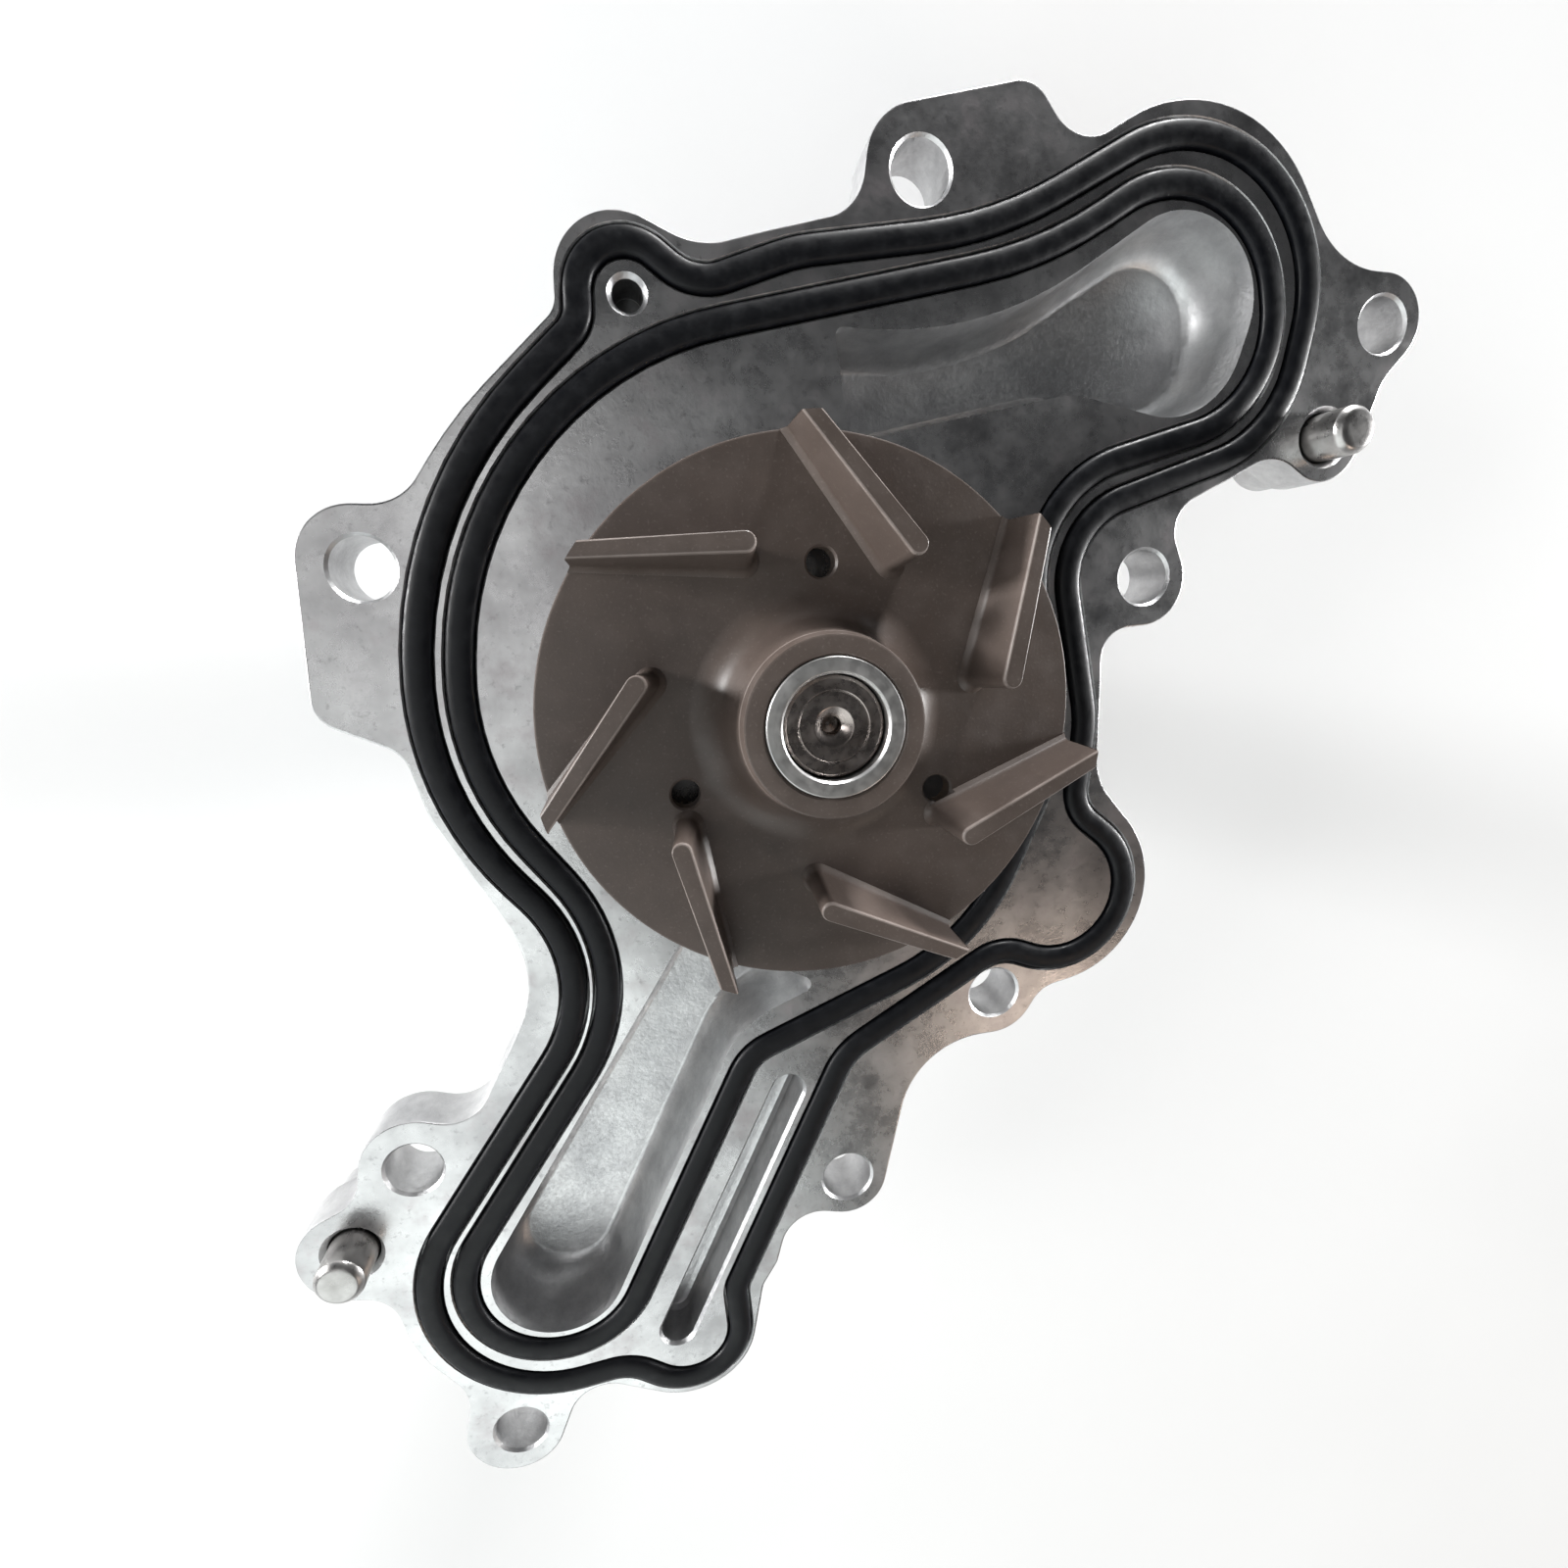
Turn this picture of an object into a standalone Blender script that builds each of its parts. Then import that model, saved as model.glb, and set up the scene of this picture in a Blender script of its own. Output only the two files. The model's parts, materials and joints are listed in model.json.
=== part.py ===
"""Automotive water pump: cast body with two face seals, open impeller, bearing shaft, seal and pulley hub.

The shaft axis is Z through x = y = 0.  +Z points from the pulley hub to the engine.
Z = 0 is the pulley hub's seating face.  Lengths below are millimetres; MM turns them into metres.
"""
import math

import bmesh
import bpy

MM = 0.001

# ---------------------------------------------------------------- driving dimensions
FACE_Z = 66.0            # engine mating face above the pulley face
FLANGE_THICK = 9.0
GAP = 0.3                # air left between touching pieces
RING_SIDES = 24          # chords round the turned pieces inside the body

BOLT_HOLE_R = 4.5        # clearance for an 8 mm bolt
BOLT_PAD_R = 7.2
BOLT_PAD_Z = FACE_Z - 10.5
BOLT_HOLES = [(-64.3, 21.7), (16.8, 79.2), (99.7, 63.9), (58.7, 21.8),
              (-52.2, -129.8), (-65.7, -74.4), (35.4, -52.4), (8.3, -86.7)]

DOWEL_R = 3.9
DOWEL_HEIGHT = 6.5       # above the mating face
DOWEL_DEPTH = 10.0
DOWEL_BOSS_Z = FACE_Z - 15.0
DOWELS = {"dowel_pin_lower": (-76.4, -88.6), "dowel_pin_upper": (91.0, 45.5)}

DRAIN_HOLE = (-26.1, 59.7)
DRAIN_R = 2.2
DRAIN_DEPTH = 7.5

SEAL_WIDTH = 3.9
SEAL_PROUD = 0.9
GROOVE_DEPTH = 3.0

POCKET_DEPTH = 12.5
POCKET_WALL = 3.6

SHAFT_R = 8.0
SHAFT_TIP_R = 7.3        # impeller seat
SHAFT_TOP = 18.6         # above the mating face
BORE_R = 15.3            # bearing bore in the body
NOSE_Z = 16.0            # pulley end of the bearing housing

IMPELLER_R = 41.3
DISC_TOP = 8.0           # above the mating face
DISC_THICK = 3.0
VANE_TOP = 18.0
HUB_TOP = 20.0
VANES = 7
VANE_INNER = (27.6, 116.0)   # radius and angle of the inner end's centre
VANE_OUTER = (41.3, 148.0)
VANE_THICK = (2.9, 2.3)      # inner end, outer end
BALANCE_HOLE_R = 2.2
BALANCE_HOLE_RADIUS = 22.9
BALANCE_HOLE_ANGLE = 89.0

ROLLING_RADIUS = 10.4    # circle on which balls and rollers run
ROLLING_COUNT = 8
BALL_R = 2.7
BALL_Z = FACE_Z - 26.0
ROLLER_R = 2.2
ROLLER_LENGTH = 9.0
ROLLER_Z = FACE_Z - 40.0
RACE_Z = (16.0, FACE_Z - 17.0)

HUB_R = 31.0
HUB_THICK = 6.0
HUB_BOSS_TOP = 14.0
HUB_THREAD_R = 3.4
HUB_PCD_R = 23.0

WEEP_ANGLE = 195.0
WEEP_Z = FACE_Z - 14.5
WEEP_R = 3.0

# ---------------------------------------------------------------- outlines
# Every outline is a tight belt round a chain of circles, clockwise: x, y, radius, and whether
# the belt runs round the outside of the circle (a lobe) or hollows round it.
LOBE = "lobe"
HOLLOW = "hollow"

FLANGE = [
    (-27.0, 61.2, 9.2, LOBE), (-15.3, 79.3, 12.0, HOLLOW), (-1.7, 49.3, 20.7, LOBE),
    (1.2, 78.9, 7.0, HOLLOW), (16.9, 79.8, 8.5, LOBE), (32.2, 87.6, 5.0, LOBE),
    (42.9, 93.4, 6.9, HOLLOW), (62.5, 69.5, 23.8, LOBE), (97.4, 86.9, 14.8, HOLLOW),
    (99.7, 64.6, 7.5, LOBE), (110.2, 50.4, 9.7, HOLLOW), (91.0, 45.5, 7.3, LOBE),
    (81.5, 34.2, 7.3, HOLLOW), (73.7, 39.1, 0.8, LOBE), (69.9, 29.7, 5.8, HOLLOW),
    (58.7, 21.4, 7.8, LOBE), (57.2, 8.3, 5.1, HOLLOW), (63.4, -9.1, 10.6, HOLLOW),
    (46.1, -33.2, 18.4, LOBE), (49.0, -57.9, 6.3, HOLLOW), (35.3, -52.0, 8.5, LOBE),
    (34.3, -76.6, 16.0, HOLLOW), (8.4, -86.9, 7.4, LOBE), (2.8, -100.2, 6.8, HOLLOW),
    (-7.1, -101.9, 2.4, LOBE), (-3.1, -108.9, 4.6, HOLLOW), (-21.9, -115.4, 12.9, LOBE),
    (-36.9, -130.0, 6.6, HOLLOW), (-53.0, -129.7, 8.6, LOBE), (-68.9, -122.9, 8.3, HOLLOW),
    (-45.6, -99.1, 24.8, LOBE), (-76.4, -104.2, 6.3, HOLLOW), (-76.9, -89.3, 8.3, LOBE),
    (-80.5, -75.2, 6.0, HOLLOW), (-65.5, -74.4, 8.8, LOBE), (-59.5, -60.0, 6.7, HOLLOW),
    (-65.6, -42.9, 19.8, HOLLOW), (-39.4, -7.3, 20.5, LOBE), (-66.2, -9.4, 5.9, HOLLOW),
    (-68.1, 3.3, 5.0, LOBE), (-64.9, 22.4, 8.2, LOBE), (-62.9, 38.5, 7.9, HOLLOW),
    (1.7, -0.3, 67.4, LOBE), (-40.0, 58.8, 3.8, HOLLOW)]

OUTER_SEAL = [
    (-26.1, 59.6, 6.9, LOBE), (-15.5, 70.7, 8.3, HOLLOW), (5.6, 40.1, 27.9, LOBE),
    (5.4, 135.6, 66.1, HOLLOW), (61.6, 65.5, 22.9, LOBE), (63.5, 59.8, 20.2, LOBE),
    (58.4, 21.6, 13.8, HOLLOW), (28.1, -4.0, 21.5, LOBE), (56.4, -14.7, 7.5, HOLLOW),
    (46.6, -33.3, 13.2, LOBE), (37.0, -53.0, 8.6, HOLLOW), (17.3, -70.0, 12.6, HOLLOW),
    (-6.5, -107.8, 6.1, HOLLOW), (-21.7, -115.0, 9.7, LOBE), (-34.6, -129.7, 9.7, HOLLOW),
    (-43.6, -99.1, 21.8, LOBE), (-62.1, -44.5, 23.5, HOLLOW), (-10.8, 4.7, 47.5, LOBE),
    (2.9, 4.8, 61.2, LOBE), (-38.1, 57.6, 5.1, HOLLOW)]

INNER_SEAL = [
    (0.5, 5.8, 52.9, LOBE), (8.6, 132.8, 68.2, HOLLOW), (60.0, 63.6, 17.9, LOBE),
    (60.7, 61.9, 17.6, LOBE), (58.4, 22.0, 19.6, HOLLOW), (16.7, -6.0, 26.8, LOBE),
    (3.2, -14.8, 36.0, LOBE), (-2.9, -66.7, 9.1, HOLLOW), (-44.1, -98.4, 15.3, LOBE),
    (-63.0, -44.4, 29.8, HOLLOW), (-11.3, 4.8, 41.2, LOBE)]

UPPER_POCKET = [
    (5.5, 56.2, 1.3, LOBE), (9.1, 117.4, 60.0, HOLLOW), (61.4, 64.9, 13.0, LOBE),
    (59.9, 60.6, 13.3, LOBE), (43.6, 40.9, 9.0, HOLLOW), (7.9, 43.2, 1.6, LOBE)]
UPPER_FLOOR = [
    (8.5, 53.2, 1.0, LOBE), (9.1, 117.4, 63.0, HOLLOW), (60.6, 64.6, 9.4, LOBE),
    (59.0, 60.8, 9.6, LOBE), (43.6, 40.9, 12.0, HOLLOW), (11.0, 46.0, 1.0, LOBE)]

LOWER_POCKET = [
    (-18.9, -40.1, 3.0, LOBE), (-0.4, -47.6, 1.5, LOBE), (1.1, -66.6, 16.5, HOLLOW),
    (-43.9, -98.9, 11.4, LOBE)]
LOWER_FLOOR = [
    (-18.3, -45.6, 2.0, LOBE), (-8.5, -47.8, 1.5, LOBE), (-0.6, -66.6, 18.3, HOLLOW),
    (-42.9, -98.1, 7.2, LOBE)]

SLOT = [(-2.9, -67.6, 2.8, LOBE), (-23.5, -113.9, 3.0, LOBE)]
SLOT_DEPTH = 8.0


# ---------------------------------------------------------------- geometry helpers
def clear_scene():
    for item in list(bpy.data.objects):
        bpy.data.objects.remove(item, do_unlink=True)


def belt_arcs(circles, offset=0.0):
    """Centre, radius, start angle and turn of each arc of the belt, moved outwards by offset."""
    rings = []
    for x, y, radius, side in circles:
        reach = radius + offset if side == LOBE else offset - radius
        rings.append((x, y, reach))
    headings = []
    for (x0, y0, reach0), (x1, y1, reach1) in zip(rings, rings[1:] + rings[:1]):
        span = math.hypot(x1 - x0, y1 - y0)
        lean = math.asin((reach0 - reach1) / span)
        headings.append(math.atan2(y1 - y0, x1 - x0) - lean)
    arcs = []
    for index, (x, y, reach) in enumerate(rings):
        turn = headings[index] - headings[index - 1]
        if circles[index][3] == LOBE:
            turn = -((-turn) % (2.0 * math.pi))
        else:
            turn = turn % (2.0 * math.pi)
        arcs.append((x, y, reach, headings[index - 1] + math.pi / 2.0, turn))
    return arcs


def arc_steps(circles, step_degrees):
    """How many chords each arc of the belt is drawn with."""
    step = math.radians(step_degrees)
    return [max(1, math.ceil(abs(arc[4]) / step)) for arc in belt_arcs(circles)]


def belt_points(circles, steps, offset=0.0):
    """Corner points of the belt, the same number for every offset."""
    points = []
    for (x, y, reach, start, turn), count in zip(belt_arcs(circles, offset), steps):
        for index in range(count + 1):
            angle = start + turn * index / count
            points.append((x + reach * math.cos(angle), y + reach * math.sin(angle)))
    return points


def mixed(circles, others, share):
    """Circles part of the way from one chain to another of the same length."""
    result = []
    for (x0, y0, r0, side), (x1, y1, r1, _) in zip(circles, others):
        result.append((x0 + (x1 - x0) * share, y0 + (y1 - y0) * share, r0 + (r1 - r0) * share, side))
    return result


def new_object(name, shape):
    """Turn a bmesh in millimetres into a scene object in metres, faces pointing out."""
    bmesh.ops.remove_doubles(shape, verts=shape.verts, dist=0.005)
    bmesh.ops.recalc_face_normals(shape, faces=shape.faces)
    if shape.calc_volume(signed=True) < 0.0:
        bmesh.ops.reverse_faces(shape, faces=shape.faces)
    bmesh.ops.scale(shape, vec=(MM, MM, MM), verts=shape.verts)
    mesh = bpy.data.meshes.new(name)
    shape.to_mesh(mesh)
    shape.free()
    item = bpy.data.objects.new(name, mesh)
    bpy.context.scene.collection.objects.link(item)
    return item


def stack(name, rings):
    """Solid through flat rings of (points, z), closed at both ends."""
    shape = bmesh.new()
    loops = [[shape.verts.new((x, y, z)) for x, y in points] for points, z in rings]
    for lower, upper in zip(loops, loops[1:]):
        for index in range(len(lower)):
            after = (index + 1) % len(lower)
            shape.faces.new((lower[index], lower[after], upper[after], upper[index]))
    shape.faces.new(loops[0])
    shape.faces.new(loops[-1])
    return new_object(name, shape)


def hoop(name, rings):
    """Closed hoop whose cross-section is the cycle of rings (points, z)."""
    shape = bmesh.new()
    loops = [[shape.verts.new((x, y, z)) for x, y in points] for points, z in rings]
    for lower, upper in zip(loops, loops[1:] + loops[:1]):
        for index in range(len(lower)):
            after = (index + 1) % len(lower)
            shape.faces.new((lower[index], lower[after], upper[after], upper[index]))
    return new_object(name, shape)


def circle_points(radius, segments, centre=(0.0, 0.0)):
    turn = 2.0 * math.pi / segments
    return [(centre[0] + radius * math.cos(turn * index), centre[1] + radius * math.sin(turn * index))
            for index in range(segments)]


def turned_ring(name, profile, segments):
    """Ring turned from a closed (radius, z) profile that stays clear of the axis."""
    return hoop(name, [(circle_points(radius, segments), z) for radius, z in profile])


def turned_solid(name, profile, segments):
    """Solid turned from a (radius, z) profile whose ends are flat."""
    return stack(name, [(circle_points(radius, segments), z) for radius, z in profile])


def cylinder(name, centre, radius, low, high, segments=18):
    points = circle_points(radius, segments, centre)
    return stack(name, [(points, low), (points, high)])


def combine(target, others, operation):
    """Join or cut, then delete the helper objects."""
    bpy.context.view_layer.objects.active = target
    for other in others:
        step = target.modifiers.new("step", "BOOLEAN")
        step.operation = operation
        step.solver = "EXACT"
        step.object = other
        bpy.ops.object.modifier_apply(modifier=step.name)
        bpy.data.objects.remove(other, do_unlink=True)
    return target


def finish(item, material, smooth_angle=32.0):
    item.data.materials.clear()
    item.data.materials.append(material)
    item.data.shade_smooth()
    item.data.set_sharp_from_angle(angle=math.radians(smooth_angle))
    return item


def make_material(name, colour, roughness, metallic):
    material = bpy.data.materials.new(name)
    material.use_nodes = True
    shader = material.node_tree.nodes["Principled BSDF"]
    shader.inputs["Base Color"].default_value = (*colour, 1.0)
    shader.inputs["Roughness"].default_value = roughness
    shader.inputs["Metallic"].default_value = metallic
    return material


def polar(radius, degrees):
    angle = math.radians(degrees)
    return radius * math.cos(angle), radius * math.sin(angle)


# ---------------------------------------------------------------- pump body
def flange_plate():
    steps = arc_steps(FLANGE, 18.0)
    back = FACE_Z - FLANGE_THICK
    return stack("pump_body", [(belt_points(FLANGE, steps, -0.8), back),
                               (belt_points(FLANGE, steps), back + 1.0),
                               (belt_points(FLANGE, steps), FACE_Z)])


def pocket_bulge(circles):
    """Back of a pocket's wall, standing out behind the flange."""
    steps = arc_steps(circles, 18.0)
    top = FACE_Z - 5.0
    floor = FACE_Z - POCKET_DEPTH - POCKET_WALL
    return stack("bulge", [(belt_points(circles, steps, POCKET_WALL), top),
                           (belt_points(circles, steps, POCKET_WALL - 0.4), floor + 2.5),
                           (belt_points(circles, steps, POCKET_WALL - 1.2), floor + 0.7),
                           (belt_points(circles, steps, POCKET_WALL - 2.6), floor)])


def bearing_housing():
    top = FACE_Z - 5.0
    profile = [(31.0, top), (31.0, FACE_Z - 11.0), (28.0, FACE_Z - 15.0), (23.5, FACE_Z - 19.0),
               (21.0, FACE_Z - 24.0), (20.2, NOSE_Z + 3.0), (19.2, NOSE_Z)]
    return turned_solid("housing", profile, 40)


def housing_rib(angle, reach):
    """Triangular web from the housing out towards a bolt boss."""
    half = 2.2
    inner, outer = 17.0, reach
    top = FACE_Z - 7.0
    side = polar(half, angle + 90.0)
    corners = [(inner, top), (outer, top), (outer, FACE_Z - FLANGE_THICK - 1.0), (inner, FACE_Z - 38.0)]
    shape = bmesh.new()
    flanks = []
    for sign in (-1.0, 1.0):
        flank = []
        for radius, z in corners:
            x, y = polar(radius, angle)
            flank.append(shape.verts.new((x + sign * side[0], y + sign * side[1], z)))
        flanks.append(flank)
    left, right = flanks
    shape.faces.new(left)
    shape.faces.new(list(reversed(right)))
    for index in range(len(left)):
        after = (index + 1) % len(left)
        shape.faces.new((left[index], right[index], right[after], left[after]))
    return new_object("rib", shape)


def body_additions():
    pieces = [pocket_bulge(UPPER_POCKET), pocket_bulge(LOWER_POCKET), bearing_housing()]
    for centre in BOLT_HOLES:
        pieces.append(cylinder("pad", centre, BOLT_PAD_R, BOLT_PAD_Z, FACE_Z - 5.0, 20))
    for centre in DOWELS.values():
        pieces.append(cylinder("dowel_boss", centre, BOLT_PAD_R - 0.6, DOWEL_BOSS_Z, FACE_Z - 5.0, 20))
    for (x, y), shorten in ((BOLT_HOLES[0], 8.0), (BOLT_HOLES[3], 8.0), (BOLT_HOLES[6], 8.0)):
        pieces.append(housing_rib(math.degrees(math.atan2(y, x)), math.hypot(x, y) - shorten))
    for angle in (225.0, 128.0):
        pieces.append(housing_rib(angle, 52.0))
    return pieces


def pocket_cutter(mouth, floor, depth):
    """Hollow with nearly upright walls that round into a flat floor."""
    steps = arc_steps(mouth, 18.0)
    stages = [(0.0, 1.0), (0.0, 0.0), (0.18, -0.66 * depth), (0.45, -0.88 * depth), (1.0, -depth)]
    rings = [(belt_points(mixed(mouth, floor, share), steps), FACE_Z + level) for share, level in stages]
    return stack("pocket", rings)


def seal_groove(circles):
    steps = arc_steps(circles, 15.0)
    half = SEAL_WIDTH / 2.0 + GAP
    outside = belt_points(circles, steps, half)
    inside = belt_points(circles, steps, -half)
    low = FACE_Z - GROOVE_DEPTH - GAP
    high = FACE_Z + 1.0
    return hoop("groove", [(outside, low), (outside, high), (inside, high), (inside, low)])


def bearing_bore():
    """Turned cut: seal seat, web, weep chamber and bearing bore."""
    profile = [(18.3, FACE_Z + 1.0), (18.3, FACE_Z - 9.0), (9.6, FACE_Z - 9.0), (9.6, FACE_Z - 12.0),
               (13.9, FACE_Z - 12.0), (13.9, FACE_Z - 16.7), (BORE_R, FACE_Z - 16.7), (BORE_R, NOSE_Z - 1.0)]
    return turned_solid("bore", profile, 36)


def radial_cylinder(name, angle, z, radius, near, far, segments=16):
    """Cylinder lying square to the shaft, from one radius out to another."""
    shape = bmesh.new()
    rim = [(radius * math.cos(2.0 * math.pi * i / segments), radius * math.sin(2.0 * math.pi * i / segments))
           for i in range(segments)]
    across = polar(1.0, angle + 90.0)
    loops = []
    for distance in (near, far):
        x, y = polar(distance, angle)
        loops.append([shape.verts.new((x + across[0] * u, y + across[1] * u, z + v)) for u, v in rim])
    for index in range(segments):
        after = (index + 1) % segments
        shape.faces.new((loops[0][index], loops[0][after], loops[1][after], loops[1][index]))
    shape.faces.new(loops[0])
    shape.faces.new(loops[1])
    return new_object(name, shape)


def body_cuts():
    cuts = [seal_groove(OUTER_SEAL), seal_groove(INNER_SEAL),
            pocket_cutter(UPPER_POCKET, UPPER_FLOOR, POCKET_DEPTH),
            pocket_cutter(LOWER_POCKET, LOWER_FLOOR, POCKET_DEPTH)]
    slot_steps = arc_steps(SLOT, 22.5)
    cuts.append(stack("slot", [(belt_points(SLOT, slot_steps, -0.5), FACE_Z - SLOT_DEPTH),
                               (belt_points(SLOT, slot_steps), FACE_Z - SLOT_DEPTH + 1.0),
                               (belt_points(SLOT, slot_steps), FACE_Z + 1.0)]))
    cuts.append(bearing_bore())
    for centre in BOLT_HOLES:
        cuts.append(cylinder("bolt_hole", centre, BOLT_HOLE_R, BOLT_PAD_Z - 4.0, FACE_Z + 1.0))
    for centre in DOWELS.values():
        cuts.append(cylinder("dowel_hole", centre, DOWEL_R + GAP, FACE_Z - DOWEL_DEPTH - GAP, FACE_Z + 1.0))
    cuts.append(cylinder("drain", DRAIN_HOLE, DRAIN_R, FACE_Z - DRAIN_DEPTH, FACE_Z + 1.0, 14))
    cuts.append(radial_cylinder("weep", WEEP_ANGLE, WEEP_Z, WEEP_R, 11.0, 40.0))
    return cuts


def pump_body(material):
    body = flange_plate()
    combine(body, body_additions(), "UNION")
    combine(body, body_cuts(), "DIFFERENCE")
    return finish(body, material)


# ---------------------------------------------------------------- fixed pieces
def face_seal(name, circles, material):
    """Rubber seal: flat foot in its groove, rounded crown above the mating face."""
    steps = arc_steps(circles, 15.0)
    half = SEAL_WIDTH / 2.0
    section = [(half, -GROOVE_DEPTH), (half, 0.2), (half * 0.55, SEAL_PROUD),
               (-half * 0.55, SEAL_PROUD), (-half, 0.2), (-half, -GROOVE_DEPTH)]
    rings = [(belt_points(circles, steps, across), FACE_Z + level) for across, level in section]
    return finish(hoop(name, rings), material, 50.0)


def dowel_pin(name, material):
    centre = DOWELS[name]
    chamfer = 0.8
    low = FACE_Z - DOWEL_DEPTH
    high = FACE_Z + DOWEL_HEIGHT
    narrow = circle_points(DOWEL_R - chamfer, 24, centre)
    full = circle_points(DOWEL_R, 24, centre)
    return finish(stack(name, [(narrow, low), (full, low + chamfer), (full, high - chamfer), (narrow, high)]),
                  material)


def bearing_outer_race(material):
    low, high = RACE_Z
    groove = 1.6
    profile = [(15.0, low + 0.5), (15.0, high - 0.5), (14.5, high), (12.8, high), (12.8, BALL_Z + groove),
               (13.3, BALL_Z + 0.6), (13.3, BALL_Z - 0.6), (12.8, BALL_Z - groove), (12.8, low), (14.5, low)]
    return finish(turned_ring("bearing_outer_race", profile, RING_SIDES), material)


def bearing_seal(name, low, material):
    profile = [(8.3, low + 0.3), (8.3, low + 0.7), (9.0, low + 1.0), (12.5, low + 1.0), (12.5, low),
               (9.0, low)]
    return finish(turned_ring(name, profile, RING_SIDES), material)


def seal_cup(material):
    floor = FACE_Z - 8.7
    top = FACE_Z + 1.1
    profile = [(18.0, floor), (18.0, FACE_Z + 0.3), (20.5, FACE_Z + 0.3), (20.5, top), (17.2, top),
               (17.2, floor + 0.7), (9.3, floor + 0.7), (9.3, floor)]
    return finish(turned_ring("seal_cup", profile, RING_SIDES), material)


def seal_bellows(material):
    low = FACE_Z - 7.7
    profile = [(9.3, low), (13.4, low), (13.4, low + 0.8), (10.4, low + 0.8), (10.4, FACE_Z - 5.0),
               (11.4, FACE_Z - 4.2), (10.4, FACE_Z - 3.4), (10.4, FACE_Z - 0.1), (12.6, FACE_Z - 0.1),
               (12.6, FACE_Z + 0.5), (9.3, FACE_Z + 0.5)]
    return finish(turned_ring("seal_bellows", profile, RING_SIDES), material)


def seal_spring(material):
    """Coil of round wire between the cup's floor and the retainer."""
    turns, wire, mean = 2.75, 0.8, 15.2
    low, high = FACE_Z - 6.8, FACE_Z - 1.4
    sections, sides = 36, 5
    shape = bmesh.new()
    loops = []
    for index in range(sections + 1):
        share = index / sections
        angle = 2.0 * math.pi * turns * share
        z = low + (high - low) * share
        loop = []
        for side in range(sides):
            around = 2.0 * math.pi * side / sides
            radius = mean + wire * math.cos(around)
            loop.append(shape.verts.new((radius * math.cos(angle), radius * math.sin(angle),
                                         z + wire * math.sin(around))))
        loops.append(loop)
    for lower, upper in zip(loops, loops[1:]):
        for side in range(sides):
            after = (side + 1) % sides
            shape.faces.new((lower[side], lower[after], upper[after], upper[side]))
    shape.faces.new(loops[0])
    shape.faces.new(loops[-1])
    return finish(new_object("seal_spring", shape), material, 80.0)


def weep_cap(material):
    """Filter plug in the mouth of the weep hole, with a small bore through it."""
    plug = radial_cylinder("weep_cap", WEEP_ANGLE, WEEP_Z, WEEP_R - GAP, 24.0, 30.6)
    bore = radial_cylinder("cap_bore", WEEP_ANGLE, WEEP_Z, 1.1, 20.0, 34.0, 10)
    return finish(combine(plug, [bore], "DIFFERENCE"), material)


# ---------------------------------------------------------------- sliding seal face
def carbon_ring(material):
    profile = [(10.8, FACE_Z + 0.8), (12.6, FACE_Z + 0.8), (12.6, FACE_Z + 2.2), (12.0, FACE_Z + 3.2),
               (11.2, FACE_Z + 3.2), (10.8, FACE_Z + 2.6)]
    return finish(turned_ring("carbon_ring", profile, RING_SIDES), material)


def seal_retainer(material):
    profile = [(13.0, FACE_Z - 0.3), (16.8, FACE_Z - 0.3), (16.8, FACE_Z + 0.2), (13.6, FACE_Z + 0.2),
               (13.6, FACE_Z + 2.0), (13.0, FACE_Z + 2.0)]
    return finish(turned_ring("seal_retainer", profile, RING_SIDES), material)


# ---------------------------------------------------------------- rotor
def shaft(material):
    """Bearing shaft with a ball groove, an impeller seat and a centre drill in its engine end."""
    top = FACE_Z + SHAFT_TOP
    profile = [(7.4, 0.0), (SHAFT_R, 0.6), (SHAFT_R, BALL_Z - 1.6), (7.5, BALL_Z - 0.6), (7.5, BALL_Z + 0.6),
               (SHAFT_R, BALL_Z + 1.6), (SHAFT_R, FACE_Z + 2.0), (SHAFT_TIP_R, FACE_Z + 2.6),
               (SHAFT_TIP_R, top - 0.7), (SHAFT_TIP_R - 0.7, top), (2.2, top), (1.3, top - 1.1), (1.3, top - 3.0)]
    return finish(turned_solid("shaft", profile, RING_SIDES), material)


def vane(angle):
    """Straight swept blade standing on the impeller disc, its inner end rounded."""
    ends = (polar(VANE_INNER[0], VANE_INNER[1] + angle), polar(VANE_OUTER[0] + 2.0, VANE_OUTER[1] + angle))
    blade = [(*ends[0], VANE_THICK[0] / 2.0, LOBE), (*ends[1], VANE_THICK[1] / 2.0, LOBE)]
    steps = arc_steps(blade, 40.0)
    low = FACE_Z + DISC_TOP - 1.0
    return stack("vane", [(belt_points(blade, steps, 0.2), low),
                          (belt_points(blade, steps, -0.1), FACE_Z + VANE_TOP)])


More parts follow.
